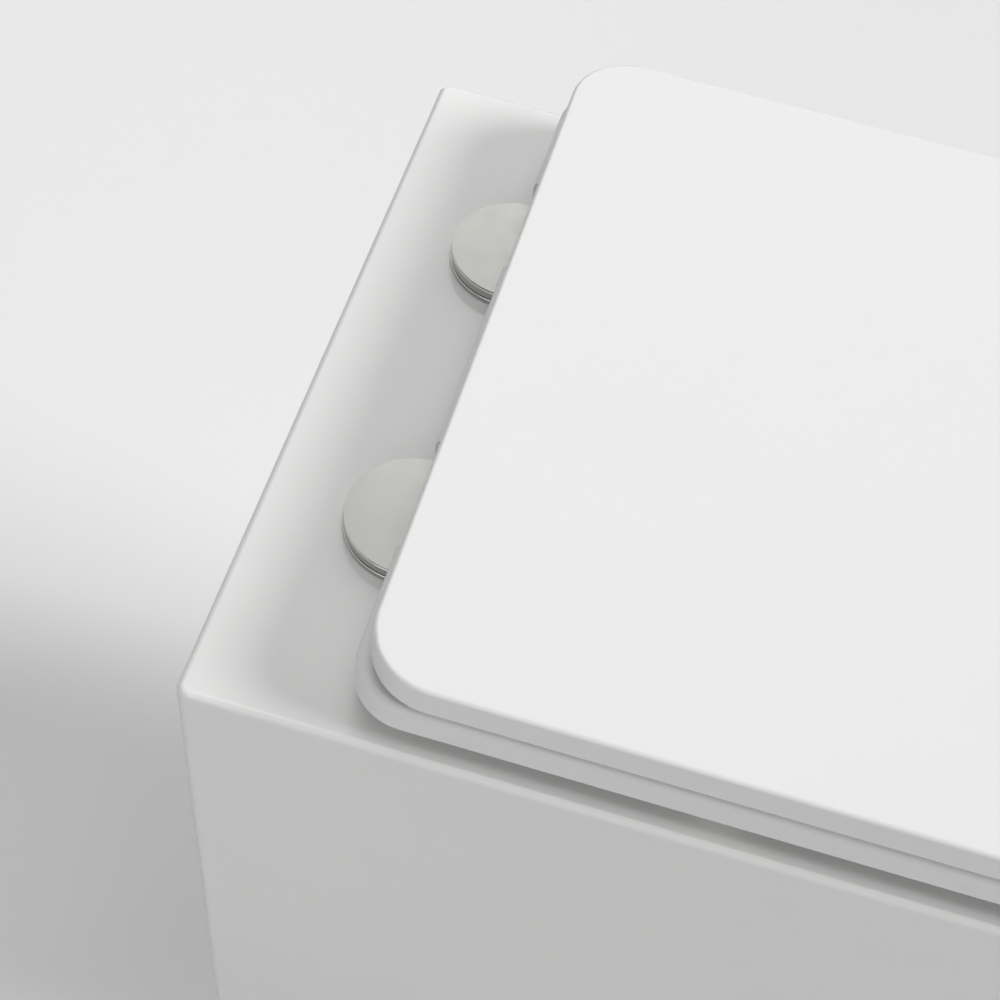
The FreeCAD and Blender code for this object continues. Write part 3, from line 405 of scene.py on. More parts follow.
# Zinc die casting under silver lacquer: a grainy, half matt metal.
DIE_CAST_ZINC = Finish(
    name="zinc_die_cast_lacquered",
    colour="#A8A9A9",
    second_colour="#B4B5B5",
    cloud_mm=6,
    roughness=(0.34, 0.46),
    relief_mm=0.9,
    relief_depth_mm=0.02,
    metallic=0.9,
)

# Stainless steel from the lathe: clean metal with fine tool marks.
TURNED_STEEL = Finish(
    name="stainless_steel_turned",
    colour="#B9B8B5",
    second_colour="#C6C5C2",
    cloud_mm=3,
    roughness=(0.20, 0.32),
    relief_mm=0.5,
    relief_depth_mm=0.006,
    metallic=1.0,
)

# Free cutting brass from the lathe: warm metal, a little dulled.
TURNED_BRASS = Finish(
    name="brass_turned",
    colour="#B8924C",
    second_colour="#C9A561",
    cloud_mm=3,
    roughness=(0.25, 0.38),
    relief_mm=0.5,
    relief_depth_mm=0.006,
    metallic=1.0,
)

# Black rubber from a blasted mould: matt, with a dusty bloom.
MOULDED_RUBBER = Finish(
    name="rubber_moulded_black",
    colour="#1B1B1B",
    second_colour="#2A2A2A",
    cloud_mm=7,
    roughness=(0.60, 0.75),
    relief_mm=0.7,
    relief_depth_mm=0.03,
    ior=1.52,
)

# Pale elastomer from a smooth mould: milky, light goes a little way in.
PALE_ELASTOMER = Finish(
    name="elastomer_moulded_pale",
    colour="#D9D9D4",
    second_colour="#E3E3DF",
    cloud_mm=5,
    roughness=(0.38, 0.50),
    relief_mm=0.8,
    relief_depth_mm=0.01,
    ior=1.45,
    subsurface=0.35,
)

# Acetal, injection moulded in light grey: fine texture, waxy sheen.
GREY_ACETAL = Finish(
    name="acetal_moulded_grey",
    colour="#B4B7B9",
    second_colour="#BEC1C3",
    cloud_mm=8,
    roughness=(0.36, 0.46),
    relief_mm=0.5,
    relief_depth_mm=0.008,
    ior=1.48,
)

# Studio paper: matt white, lightly mottled.
STUDIO_PAPER = StageFinish(
    name="studio_paper",
    colour="#F1F1F1",
    second_colour="#F3F3F3",
    cloud_mm=400,
    roughness=(0.85, 0.95),
    relief_mm=2.0,
    relief_depth_mm=0.02,
    bounce="#ADADAD",
)


def rounded(corners: Profile, radius: float, steps: int = 4, closed: bool = False) -> list[Spot]:
    """Rounds the corners of a profile.

    Args:
        corners: The profile's corners in millimetres.
        radius: The largest corner radius in millimetres.
        steps: How many lines each rounding has.
        closed: Whether the last corner joins the first.

    Returns:
        The profile with its roundings.
    """
    points: list[Spot] = []
    count = len(corners)
    for i, corner in enumerate(corners):
        if not closed and i in (0, count - 1):
            points.append(corner)
            continue
        here = Vector(corner)
        before, after = Vector(corners[i - 1]) - here, Vector(corners[(i + 1) % count]) - here
        half = before.angle(after) / 2
        if half > math.radians(FLAT_CORNER_DEG):
            points.append(corner)
            continue
        most = min(before.length * EDGE_SHARE, after.length * EDGE_SHARE)
        reach = min(radius / math.tan(half), most)
        start, end = here + before.normalized() * reach, here + after.normalized() * reach
        for step in range(steps + 1):
            share = step / steps
            point = start * (1 - share) ** 2 + here * 2 * share * (1 - share) + end * share**2
            points.append((point.x, point.y))
    return points


def new_object(
    name: str, mesh_data: bmesh.types.BMesh, sharp_deg: float = SHARP_DEG
) -> bpy.types.Object:
    """Makes an object from mesh data, smooth apart from its sharp edges.

    Args:
        name: The piece's name.
        mesh_data: The mesh, which is freed.
        sharp_deg: Edges that bend more than this stay sharp.

    Returns:
        The new object, linked to the scene.
    """
    bmesh.ops.recalc_face_normals(mesh_data, faces=mesh_data.faces)
    mesh = bpy.data.meshes.new(name)
    mesh_data.to_mesh(mesh)
    mesh_data.free()
    mesh.shade_smooth()
    mesh.set_sharp_from_angle(angle=math.radians(sharp_deg))
    obj = bpy.data.objects.new(name, mesh)
    bpy.context.scene.collection.objects.link(obj)
    return obj


def turned(
    profile: Profile,
    places: Iterable[Point],
    axis: Axis,
    closed: bool = False,
    segments: int = 64,
) -> bmesh.types.BMesh:
    """Turns a profile about an axis, once at each place.

    Args:
        profile: Radius and height pairs in millimetres. A radius of 0 closes an end.
        places: The foot of each copy in millimetres.
        axis: The direction of the height.
        closed: Whether the last point joins the first, as for a ring.
        segments: How many sides the round has.

    Returns:
        The mesh of all copies in metres.
    """
    data = bmesh.new()
    for place in places:
        matrix = Matrix.Translation(Vector(place) * MM) @ TURNS[axis]
        rings: list[list[bmesh.types.BMVert]] = []
        for radius, height in profile:
            count = segments if radius > TINY else 1
            ring = []
            for i in range(count):
                angle = 2 * math.pi * i / count
                spot = Vector((radius * math.cos(angle), radius * math.sin(angle), height)) * MM
                ring.append(data.verts.new(matrix @ spot))
            rings.append(ring)
        pairs = list(zip(rings, rings[1:]))
        if closed:
            pairs.append((rings[-1], rings[0]))
        for low, high in pairs:
            for i in range(segments):
                j = (i + 1) % segments
                if len(low) == 1 and len(high) == 1:
                    break
                if len(low) == 1:
                    data.faces.new((low[0], high[i], high[j]))
                elif len(high) == 1:
                    data.faces.new((low[i], high[0], low[j]))
                else:
                    data.faces.new((low[i], high[i], high[j], low[j]))
    return data


def prisms(
    outline: Profile, low: float, high: float, places: Iterable[Point], axis: Axis
) -> bmesh.types.BMesh:
    """Raises a flat outline to a prism, once at each place.

    Args:
        outline: The outline's corners in millimetres.
        low: Where the prism starts, in millimetres along the axis.
        high: Where it ends.
        places: The foot of each copy in millimetres.
        axis: The direction of the height.

    Returns:
        The mesh of all copies in metres.
    """
    data = bmesh.new()
    count = len(outline)
    for place in places:
        matrix = Matrix.Translation(Vector(place) * MM) @ TURNS[axis]
        foot, top = (
            [data.verts.new(matrix @ (Vector((x, y, height)) * MM)) for x, y in outline]
            for height in (low, high)
        )
        data.faces.new(foot[::-1])
        data.faces.new(top)
        for i in range(count):
            j = (i + 1) % count
            data.faces.new((foot[i], foot[j], top[j], top[i]))
    return data


def rectangle(width: float, depth: float) -> list[Spot]:
    """Draws a rectangle about its middle, in millimetres."""
    return [(width * i / 2, depth * j / 2) for i, j in ((-1, -1), (1, -1), (1, 1), (-1, 1))]


def hexagon(flats: float) -> list[Spot]:
    """Draws a hexagon by its width across flats, in millimetres."""
    radius, angles = flats / math.sqrt(3), [i * math.pi / 3 for i in range(6)]
    return [(radius * math.cos(angle), radius * math.sin(angle)) for angle in angles]


def thread(radius: float, depth: float, pitch: float, low: float, high: float) -> list[Spot]:
    """Draws the section of a thread.

    Args:
        radius: The radius at the crests in millimetres.
        depth: How much the roots differ from it. A negative depth cuts outward, as in a nut.
        pitch: The distance from crest to crest.
        low: Where the thread starts.
        high: Where it ends.

    Returns:
        Radius and height pairs from low to high.
    """
    turns = max(1, round((high - low) / pitch))
    step = (high - low) / turns
    points = [(radius, low)]
    for i in range(turns):
        points.append((radius - depth, low + step * (i + 0.5)))
        points.append((radius, low + step * (i + 1)))
    return points


def ribbed(radius: float, depth: float, count: int, low: float, high: float) -> list[Spot]:
    """Draws a row of round ribs along a turned piece.

    Args:
        radius: The radius at the ribs' tops in millimetres.
        depth: How deep the hollows between them are.
        count: How many ribs there are.
        low: Where the first rib starts.
        high: Where the last rib ends.

    Returns:
        Radius and height pairs from low to high.
    """
    points = []
    steps = count * RIB_STEPS
    for i in range(steps + 1):
        share = i / steps
        swell = 0.5 - 0.5 * math.cos(2 * math.pi * count * share)
        rise = depth * math.sqrt(max(0.0, swell))
        points.append((radius - depth + rise, low + (high - low) * share))
    return points


def combine(base: bpy.types.Object, tool: bpy.types.Object, operation: str) -> None:
    """Cuts an object with a tool, or keeps what they share, and removes the tool.

    Args:
        base: The object that changes.
        tool: The object to cut with.
        operation: DIFFERENCE or INTERSECT.
    """
    modifier = base.modifiers.new("cut", "BOOLEAN")
    modifier.object = tool
    modifier.operation = operation
    modifier.solver = "EXACT"
    graph = bpy.context.evaluated_depsgraph_get()
    mesh = bpy.data.meshes.new_from_object(base.evaluated_get(graph))
    base.modifiers.clear()
    base.data = mesh
    bpy.data.objects.remove(tool)
    base.data.shade_smooth()
    base.data.set_sharp_from_angle(angle=math.radians(SHARP_DEG))


def carry(
    obj: bpy.types.Object, body: Body, slot: Slot, material: bpy.types.Material, *nodes: str
) -> None:
    """Puts a finished piece on its body in place of the nodes that it stands for.

    Args:
        obj: The piece.
        body: The body that it rides on.
        slot: Not used.
        material: The piece's first material.
        nodes: The nodes that it replaces.
    """
    obj.data.materials.append(material)
    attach(obj, body.value)
    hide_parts(*nodes)
    LOG.info("%s stands for %s", obj.name, ", ".join(nodes))


def dress(material: bpy.types.Material, *nodes: str) -> None:
    """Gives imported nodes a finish.

    Args:
        material: The finish.
        nodes: The nodes' names.
    """
    for name in nodes:
        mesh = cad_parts[name].data
        mesh.materials.clear()
        mesh.materials.append(material)
        LOG.info("%s wears %s", name, material.name)


@dataclass
class Finishes:
    """One material for each finish of the toilet."""

    glaze: bpy.types.Material = field(default_factory=SANITARY_GLAZE.make)
    thermoset: bpy.types.Material = field(default_factory=MOULDED_THERMOSET.make)
    satin_chrome: bpy.types.Material = field(default_factory=SATIN_CHROME.make)
    polished_chrome: bpy.types.Material = field(default_factory=POLISHED_CHROME.make)
    die_cast: bpy.types.Material = field(default_factory=DIE_CAST_ZINC.make)
    steel: bpy.types.Material = field(default_factory=TURNED_STEEL.make)
    brass: bpy.types.Material = field(default_factory=TURNED_BRASS.make)
    rubber: bpy.types.Material = field(default_factory=MOULDED_RUBBER.make)
    elastomer: bpy.types.Material = field(default_factory=PALE_ELASTOMER.make)
    acetal: bpy.types.Material = field(default_factory=GREY_ACETAL.make)


@dataclass
class Pan:
    """The ceramic pan with its flush and wall fittings, sizes in millimetres."""

    finishes: Finishes
    inlet_rise: float = 35.0
    collar_radius: float = 27.5
    collar_bore: float = 22.55
    collar_length: float = 28.0
    collar_edge: float = 1.2
    collar_end: float = 2.0
    rib_count: int = 4
    rib_depth: float = 0.6
    lip_height: float = 0.7
    lip_length: float = 4.0
    lip_slope: float = 2.0
    flare: float = 0.8
    flare_length: float = 1.0
    stud_reach: float = 90.0
    stud_radius: float = 6.0
    sleeve_bore: float = 6.4
    washer_start: float = -19.0
    washer_radius: float = 18.0
    washer_thickness: float = 3.0
    washer_rounding: float = 0.6
    nut_flats: float = 19.0
    nut_height: float = 10.0
    nut_pitch: float = 1.75
    nut_thread: float = 0.9
    nut_lead: float = 0.6
    nut_chamfer: float = 1.1
    nut_face_share: float = 0.95

    def stud_places(self, start: float) -> list[Point]:
        """Gives the left and the right stud's middle at a distance from the wall."""
        return [(side * self.stud_reach, start, 0.0) for side in (-1, 1)]

    def build_collar(self) -> None:
        """Makes the rubber collar: sealing ribs outside, a lip at each end of its bore."""
        long, bore, radius = self.collar_length, self.collar_bore, self.collar_radius
        end, edge = self.collar_end, radius - self.collar_edge
        flared, wide = bore + self.flare, bore + self.lip_height
        slope_end = self.lip_length + self.lip_slope
        profile = [
            (flared, 0.0),
            (edge, 0.0),
            *ribbed(radius, self.rib_depth, self.rib_count, end, long - end),
            (edge, long),
            (flared, long),
            (bore, long - self.flare_length),
            (bore, long - self.lip_length),
            (wide, long - slope_end),
            (wide, slope_end),
            (bore, self.lip_length),
            (bore, self.flare_length),
        ]
        place = (0.0, 0.0, self.inlet_rise)
        mesh = turned(profile, [place], Axis.TO_FRONT, closed=True, segments=96)
        collar = new_object("collar", mesh)
        carry(collar, Body.PAN, Slot.RUBBER, self.finishes.rubber, "flush_collar")

    def build_washers(self) -> None:
        """Makes the stamped washers with rolled edges."""
        corners = [
            (self.sleeve_bore, 0.0),
            (self.washer_radius, 0.0),
            (self.washer_radius, self.washer_thickness),
            (self.sleeve_bore, self.washer_thickness),
        ]
        profile = rounded(corners, self.washer_rounding, closed=True)
        places = self.stud_places(self.washer_start)
        mesh = turned(profile, places, Axis.TO_FRONT, closed=True, segments=80)
        washers = new_object("washers", mesh)
        carry(washers, Body.PAN, Slot.STEEL, self.finishes.steel, "stud_washers")

    def build_nuts(self) -> None:
        """Makes the hexagon nuts: chamfered corners and a cut thread."""
        high, corner = self.nut_height, self.nut_flats / math.sqrt(3)
        face, root = self.nut_flats / 2 * self.nut_face_share, self.stud_radius + self.nut_thread
        lead, chamfer = self.nut_lead, self.nut_chamfer
        profile = [
            (root, 0.0),
            *thread(self.stud_radius, -self.nut_thread, self.nut_pitch, lead, high - lead),
            (root, high),
            (face, high),
            (corner, high - chamfer),
            (corner, chamfer),
            (face, 0.0),
        ]
        places = self.stud_places(self.washer_start - self.washer_thickness)
        mesh = turned(profile, places, Axis.TO_FRONT, closed=True, segments=72)
        nuts = new_object("nuts", mesh)
        outline = hexagon(self.nut_flats)
        flats = prisms(outline, -OVERSHOOT, high + OVERSHOOT, places, Axis.TO_FRONT)
        combine(nuts, new_object("nut_flats", flats), "INTERSECT")
        carry(nuts, Body.PAN, Slot.STEEL, self.finishes.steel, "stud_nuts")

    def build(self) -> None:
        """Makes the fittings and dresses the rest."""
        dress(self.finishes.glaze, "ceramic_pan")
        dress(self.finishes.acetal, "flush_divider", "stud_sleeves")
        self.build_collar()
        self.build_washers()
        self.build_nuts()


@dataclass
class Hinges:
    """The two hinges on the deck, sizes in millimetres."""

    finishes: Finishes
    deck: float = 80.0
    reach: float = 77.5
    setback: float = -64.0
    disc_radius: float = 29.0
    disc_height: float = 8.5
    disc_rim: float = 2.0
    disc_skin: float = 1.5
    disc_sharp_deg: float = 60.0
    top_facing: float = 0.99
    edge_rounding: float = 0.12
    cap_inset: float = 0.4
    lip: float = 0.35
    line_height: float = 0.9
    line_depth: float = 1.3
    shoulder: float = 0.4
    groove: float = 0.6
    groove_depth: float = 0.8
    bead: float = 2.6
    bead_rounding: float = 1.2
    slot_middle: float = -84.0
    slot_width: float = 15.8
    slot_depth: float = 6.8
    axis_setback: float = -73.5
    axis_height: float = 113.0
    pin_radius: float = 3.0
    pin_length: float = 50.0
    pin_chamfer: float = 0.5
    pin_rounding: float = 0.2
    bolt_foot: float = 42.0
    bolt_length: float = 41.8
    bolt_radius: float = 3.0
    bolt_tip: float = 0.6
    bolt_thread: float = 0.55
    bolt_pitch: float = 1.0
    bolt_threaded: float = 18.0
    bolt_head: float = 6.0
    bolt_edge: float = 0.3
    bolt_bevel: float = 0.15
    bolt_socket: float = 4.0
    socket_depth: float = 2.2
    dowel_foot: float = 50.0
    dowel_length: float = 30.0
    dowel_radius: float = 7.35
    dowel_bore: float = 3.2
    dowel_lead: float = 1.0
    dowel_edge: float = 0.5
    dowel_end: float = 0.8
    rib_count: int = 7
    rib_depth: float = 0.5

    def places(self, height: float) -> list[Point]:
        """Gives the left and the right hinge's middle at a height."""
        return [(side * self.reach, self.setback, height) for side in (-1, 1)]

    def disc_profile(self) -> list[Spot]:
        """Draws the disc's section: a cap with a line under its lip, over a round bead.

        Returns:
            Radius and height pairs from the middle of the top to the middle of the hollow.
        """
        radius, high = self.disc_radius, self.disc_height
        cap, inner = radius - self.cap_inset, radius - self.disc_rim
        line, seam = cap - self.line_depth, cap - self.groove_depth
        line_top = high - self.lip
        line_foot = line_top - self.line_height
        cover = [
            (0.0, high),
            (cap, high),
            (cap, line_top),
            (line, line_top),
            (line, line_foot),
            (cap - self.shoulder, line_foot),
            (cap, line_foot - self.shoulder),
            (cap, self.bead + self.groove),
            (seam, self.bead + self.groove),
            (seam, self.bead),
        ]
        ring = [cover[-1], (radius, self.bead), (radius, 0.0), (inner, 0.0)]
        hollow = [(inner, high - self.disc_skin), (0.0, high - self.disc_skin)]
        bead = rounded(ring, self.bead_rounding, steps=6)
        return [*rounded(cover, self.edge_rounding, steps=3), *bead[1:], *hollow]

    def build_disc(self, name: str, side: int) -> None:
        """Makes a disc with a satin top and a polished edge.

        Args:
            name: The side's name.
            side: -1 for the left, 1 for the right.
        """
        x = side * self.reach
        place = (x, self.setback, self.deck)
        mesh = turned(self.disc_profile(), [place], Axis.UP, segments=192)
        disc = new_object(f"disc_{name}", mesh, sharp_deg=self.disc_sharp_deg)
        outline, top = rectangle(self.slot_width, self.slot_depth), self.disc_height + OVERSHOOT
        slot = prisms(outline, -OVERSHOOT, top, [(x, self.slot_middle, self.deck)], Axis.UP)
        combine(disc, new_object("disc_slot", slot), "DIFFERENCE")
        node = f"hinge_disc_{name}"
        carry(disc, Body.PAN, Slot.CHROME, self.finishes.polished_chrome, node)
        disc.data.materials.append(self.finishes.satin_chrome)
        level = (self.deck + self.disc_height) * MM - TINY
        for face in disc.data.polygons:
            on_top = face.normal.z > self.top_facing and face.center.z > level
            face.material_index = int(on_top)

    def build_pin(self, name: str, side: int) -> None:
        """Makes a hinge pin with chamfered ends.

        Args:
            name: The side's name.
            side: -1 for the left, 1 for the right.
        """
        radius, long, chamfer = self.pin_radius, self.pin_length, self.pin_chamfer
        corners = [
            (0.0, 0.0),
            (radius - chamfer, 0.0),
            (radius, chamfer),
            (radius, long - chamfer),
            (radius - chamfer, long),
            (0.0, long),
        ]
        place = (side * self.reach - long / 2, self.axis_setback, self.axis_height)
        mesh = turned(rounded(corners, self.pin_rounding), [place], Axis.ACROSS, segments=48)
        pin = new_object(f"pin_{name}", mesh)
        carry(pin, Body.PAN, Slot.STEEL, self.finishes.steel, f"hinge_pin_{name}")

    def build_bolts(self) -> None:
        """Makes the countersunk bolts with a hexagon socket and a rolled thread."""
        radius, long, head = self.bolt_radius, self.bolt_length, self.bolt_head
        tip, edge_foot = self.bolt_tip, long - self.bolt_edge
        profile = [
            (0.0, 0.0),
            (radius - tip, 0.0),
            *thread(radius, self.bolt_thread, self.bolt_pitch, tip, self.bolt_threaded),
            (radius, edge_foot - (head - radius)),
            (head, edge_foot),
            (head - self.bolt_bevel, long),
            (0.0, long),
        ]
        places = self.places(self.bolt_foot)
        bolts = new_object("bolts", turned(profile, places, Axis.UP, segments=48))
        outline, floor = hexagon(self.bolt_socket), long - self.socket_depth
        socket = prisms(outline, floor, long + OVERSHOOT, places, Axis.UP)
        combine(bolts, new_object("bolt_sockets", socket), "DIFFERENCE")
        carry(bolts, Body.PAN, Slot.STEEL, self.finishes.steel, "hinge_bolts")

    def build_dowels(self) -> None:
        """Makes the ribbed rubber dowels."""
        radius, bore = self.dowel_radius, self.dowel_bore
        long, end = self.dowel_length, self.dowel_end
        profile = [
            (bore, 0.0),
            (radius - self.dowel_lead, 0.0),
            *ribbed(radius, self.rib_depth, self.rib_count, end, long - end),
            (radius - self.dowel_edge, long),
            (bore, long),
        ]
        places = self.places(self.dowel_foot)
        dowels = new_object("dowels", turned(profile, places, Axis.UP, closed=True, segments=56))
        carry(dowels, Body.PAN, Slot.RUBBER, self.finishes.rubber, "hinge_dowels")

    def build(self) -> None:
        """Makes the small hinge pieces and dresses the rest."""
        for name, side in (("left", -1), ("right", 1)):
            self.build_disc(name, side)
            self.build_pin(name, side)
            dress(self.finishes.die_cast, f"hinge_foot_{name}")
            dress(self.finishes.rubber, f"hinge_gasket_{name}")
        self.build_bolts()
        self.build_dowels()
        dress(self.finishes.brass, "dowel_nuts")


@dataclass(frozen=True)
class Buffers:
    """Four rubber buffers: a pad with a rounded foot, a waist and a stem, sizes in millimetres."""

    radius: float
    height: float
    stem_radius: float
    stem_length: float
    reach: float
    rear: float
    front: float
    foot: float
    # These five are shares, waist_radius of the pad's radius and the others of its height.
    foot_inset: float = 0.25
    foot_level: float = 0.22
    waist_radius: float = 0.95
    waist_level: float = 0.5
    crown_level: float = 0.8
    # These are millimetres again.
    crown_inset: float = 0.3
    stem_bevel: float = 0.8
    rounding: float = 0.6

    def mesh(self) -> bmesh.types.BMesh:
        """Makes the four buffers.

        Returns:
            Their mesh in metres.
        """
        radius, high, stem, bevel = self.radius, self.height, self.stem_radius, self.stem_bevel
        top = high + self.stem_length
        corners = [
            (0.0, 0.0),
            (radius - self.foot_inset * high, 0.0),
            (radius, self.foot_level * high),
            (self.waist_radius * radius, self.waist_level * high),
            (radius, self.crown_level * high),
            (radius - self.crown_inset, high),
            (stem, high),
            (stem, top - bevel),
            (stem - bevel, top),
            (0.0, top),
        ]
        rows = (self.rear, self.front)
        places = [(side * self.reach, y, self.foot) for side in (-1, 1) for y in rows]
        return turned(rounded(corners, self.rounding), places, Axis.UP, segments=56)


@dataclass(frozen=True)
class Screws:
    """Four countersunk screws with a cross recess, sizes in millimetres."""

    length: float
    reach: float
    rows: tuple[float, float]
    head_level: float
    axis: Axis
    head_radius: float = 3.5
    head_edge: float = 0.2
    head_bevel: float = 0.12
    shank_radius: float = 1.75
    thread_depth: float = 0.35
    thread_pitch: float = 1.2
    thread_start: float = 3.0
    tip_length: float = 1.6
    recess_width: float = 0.95
    recess_length: float = 4.2
    recess_depth: float = 1.5

    def build(self, name: str) -> bpy.types.Object:
        """Makes the screws.

        Args:
            name: The object's name.

        Returns:
            One object with four screws, their heads at the profile's start.
        """
        head, shank, long = self.head_radius, self.shank_radius, self.length
        tip = long - self.tip_length
        profile = [
            (0.0, 0.0),
            (head - self.head_bevel, 0.0),
            (head, self.head_edge),
            (shank, head - shank + self.head_edge),
            *thread(shank, self.thread_depth, self.thread_pitch, self.thread_start, tip),
            (0.0, long),
        ]
        places = [(side * self.reach, y, self.head_level) for side in (-1, 1) for y in self.rows]
        screws = new_object(name, turned(profile, places, self.axis, segments=40))
        bars = (self.recess_length, self.recess_width), (self.recess_width, self.recess_length)
        for wide, deep in bars:
            outline = rectangle(wide, deep)
            bar = prisms(outline, -OVERSHOOT, self.recess_depth, places, self.axis)
            combine(screws, new_object("recess", bar), "DIFFERENCE")
        return screws


@dataclass
class Seat:
    """The seat ring with its leaves, buffers and screws."""

    finishes: Finishes
    buffers: Buffers = Buffers(
        radius=8.0,
        height=11.0,
        stem_radius=4.0,
        stem_length=5.0,
        reach=160.0,
        rear=-210.0,
        front=-380.0,
        foot=80.0,
    )
    screws: Screws = Screws(
        length=13.0, reach=61.0, rows=(-115.0, -97.0), head_level=106.0, axis=Axis.DOWN
    )

    def build(self) -> None:
        """Makes the buffers and screws and dresses the rest."""
        dress(self.finishes.thermoset, "seat_ring")
        dress(self.finishes.die_cast, "seat_leaf_left", "seat_leaf_right")
        dress(self.finishes.acetal, "seat_damper", "seat_bush")
        pads = new_object("seat_pads", self.buffers.mesh())
        carry(pads, Body.SEAT, Slot.CLEAR_RUBBER, self.finishes.elastomer, "seat_buffers")
        screws = self.screws.build("seat_leaf_screws")
        carry(screws, Body.SEAT, Slot.STEEL, self.finishes.steel, "seat_screws")


@dataclass
class Lid:
    """The lid with its leaves, buffers and screws."""

    finishes: Finishes
    buffers: Buffers = Buffers(
        radius=6.0,
        height=4.0,
        stem_radius=3.0,
        stem_length=5.0,
        reach=148.0,
        rear=-170.0,
        front=-400.0,
        foot=106.0,
    )
    screws: Screws = Screws(
        length=7.5, reach=94.0, rows=(-115.0, -97.0), head_level=115.0, axis=Axis.UP
    )

    def build(self) -> None:
        """Makes the buffers and screws and dresses the rest."""
        dress(self.finishes.thermoset, "lid_cover")
        dress(self.finishes.die_cast, "lid_leaf_left", "lid_leaf_right")
        dress(self.finishes.acetal, "lid_damper", "lid_bush")
        pads = new_object("lid_pads", self.buffers.mesh())
        carry(pads, Body.LID, Slot.CLEAR_RUBBER, self.finishes.elastomer, "lid_buffers")
        screws = self.screws.build("lid_leaf_screws")
        carry(screws, Body.LID, Slot.STEEL, self.finishes.steel, "lid_screws")


@dataclass(frozen=True)
class Lamp:
    """A distant soft lamp: angles in degrees, strength in watts for each square metre."""

    name: str
    azimuth_deg: float
    elevation_deg: float
    width_deg: float
    strength: float
    # Whether glossy surfaces show its glare.
    in_gloss: bool = True

    def hang(self) -> None:
        """Hangs the lamp and turns it to the toilet."""
        data = bpy.data.lights.new(self.name, "SUN")
        data.angle = math.radians(self.width_deg)
        data.energy = self.strength
        lamp = bpy.data.objects.new(self.name, data)
        way = toward(self.azimuth_deg, self.elevation_deg)
        lamp.rotation_mode = "QUATERNION"
        lamp.rotation_quaternion = way.to_track_quat("Z", "Y")
        lamp.visible_glossy = self.in_gloss
        bpy.context.scene.collection.objects.link(lamp)


@dataclass(frozen=True)
class Softbox:
    """A round soft lamp close to the toilet, lengths in millimetres and power in watts."""

    name: str
    place: Point
    aim: Point
    size: float
    power: float

    def hang(self) -> None:
        """Hangs the lamp and turns it to its aim."""
        data = bpy.data.lights.new(self.name, "AREA")
        data.shape = "DISK"
        data.size = self.size * MM
        data.energy = self.power
        lamp = bpy.data.objects.new(self.name, data)
        lamp.location = Vector(self.place) * MM
        lamp.rotation_mode = "QUATERNION"
        lamp.rotation_quaternion = (Vector(self.place) - Vector(self.aim)).to_track_quat("Z", "Y")
        lamp.visible_camera = False
        bpy.context.scene.collection.objects.link(lamp)


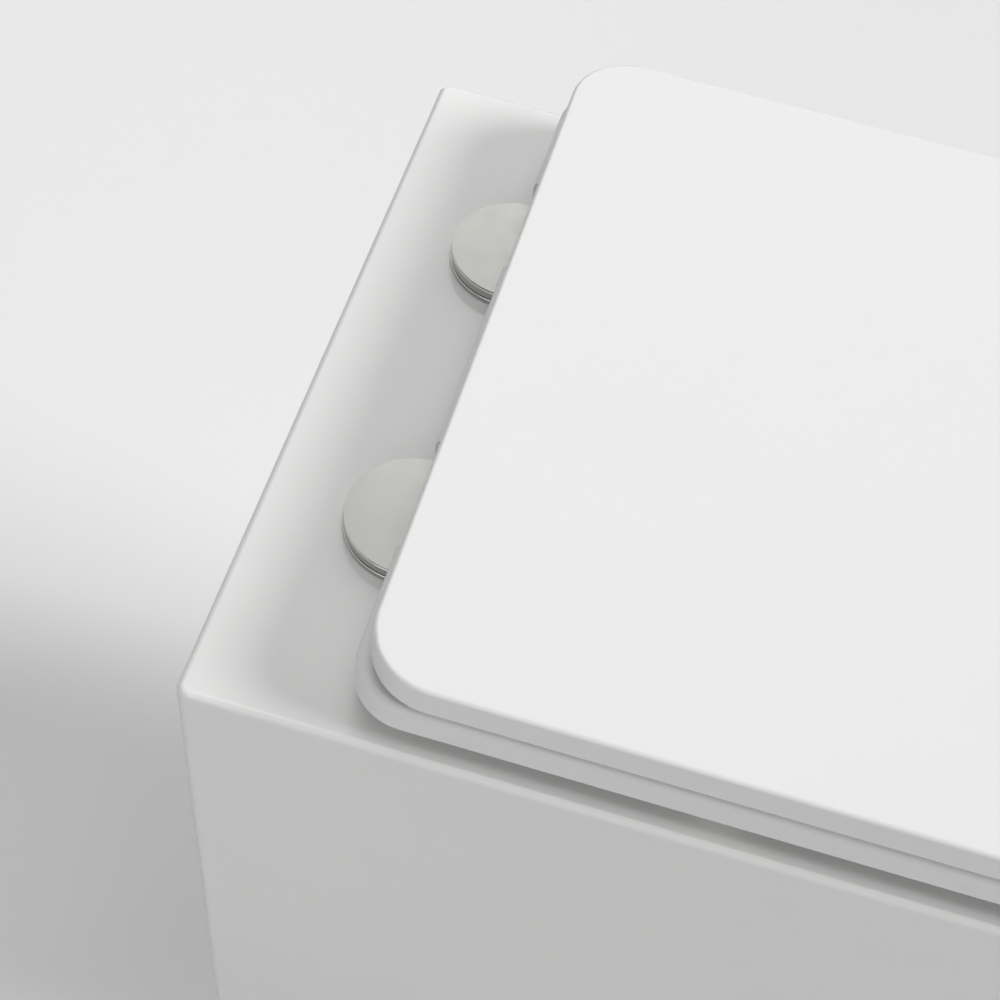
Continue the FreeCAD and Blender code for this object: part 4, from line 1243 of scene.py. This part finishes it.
@dataclass
class Studio:
    """The floor, the light and the camera, lengths in millimetres."""

    floor_level: float = -450.0
    floor_size: float = 40000.0
    ambient: float = 0.2
    backdrop: str = "#ECECEC"
    lamps: tuple[Lamp | Softbox, ...] = (
        Lamp("key", azimuth_deg=6.0, elevation_deg=35.5, width_deg=28.0, strength=2.18),
        Lamp("right", azimuth_deg=92.0, elevation_deg=35.5, width_deg=52.0, strength=0.66),
        Lamp(
            "left",
            azimuth_deg=-90.0,
            elevation_deg=10.0,
            width_deg=40.0,
            strength=0.42,
            in_gloss=False,
        ),
        Lamp("overhead", azimuth_deg=0.0, elevation_deg=90.0, width_deg=40.0, strength=0.45),
        Softbox(
            "near_left",
            place=(-1100.0, 100.0, 450.0),
            aim=(-180.0, -150.0, 50.0),
            size=1000.0,
            power=1.18,
        ),
    )
    camera_place: Point = (-514.7, -161.2, 717.8)
    azimuth_deg: float = -81.68
    elevation_deg: float = 53.80
    roll_deg: float = 8.87
    lens: float = 69.08
    sensor: float = 36.0
    clip_start: float = 10.0
    clip_end: float = 100000.0

    def lay_floor(self) -> None:
        """Lays the paper floor."""
        data = bmesh.new()
        corners = rectangle(self.floor_size, self.floor_size)
        data.faces.new([data.verts.new(Vector((x, y, self.floor_level)) * MM) for x, y in corners])
        floor = new_object("floor", data)
        floor.data.materials.append(STUDIO_PAPER.make())

    def light_world(self) -> None:
        """Fills the room with even light, and shows a pale backdrop to the camera and to gloss."""
        world = bpy.data.worlds.new("studio")
        bpy.context.scene.world = world
        world.use_nodes = True
        tree = world.node_tree
        tree.nodes.clear()
        fill, pale = (
            add_node(
                tree,
                "ShaderNodeBackground",
                inputs={"Color": linear(colour), "Strength": strength},
            ).outputs[0]
            for colour, strength in (("#FFFFFF", self.ambient), (self.backdrop, 1.0))
        )
        mixed = add_node(tree, "ShaderNodeMixShader", inputs={0: seen_rays(tree), 1: fill, 2: pale})
        add_node(tree, "ShaderNodeOutputWorld", inputs={"Surface": mixed.outputs[0]})

    def set_camera(self) -> None:
        """Sets the camera at the photograph's place, angle and lens."""
        back = toward(self.azimuth_deg, self.elevation_deg)
        right = (-back).cross(Vector((0, 0, 1))).normalized()
        up = right.cross(-back)
        roll = math.radians(self.roll_deg)
        across = right * math.cos(roll) + up * math.sin(roll)
        upward = -right * math.sin(roll) + up * math.cos(roll)
        data = bpy.data.cameras.new("camera")
        data.sensor_width = self.sensor
        data.lens = self.lens
        data.clip_start = self.clip_start * MM
        data.clip_end = self.clip_end * MM
        camera = bpy.data.objects.new("camera", data)
        matrix = Matrix((across, upward, back)).transposed().to_4x4()
        matrix.translation = Vector(self.camera_place) * MM
        camera.matrix_world = matrix
        bpy.context.scene.collection.objects.link(camera)
        bpy.context.scene.camera = camera

    def build(self) -> None:
        """Builds the studio."""
        self.lay_floor()
        self.light_world()
        for lamp in self.lamps:
            lamp.hang()
        self.set_camera()
        bpy.context.scene.view_settings.view_transform = "Standard"


def main() -> None:
    """Builds each sub-assembly in order."""
    logging.basicConfig(level=logging.INFO, format="%(name)s: %(message)s")
    finishes = Finishes()
    for assembly in (Pan(finishes), Hinges(finishes), Seat(finishes), Lid(finishes), Studio()):
        assembly.build()


if __name__ == "__main__":
    main()
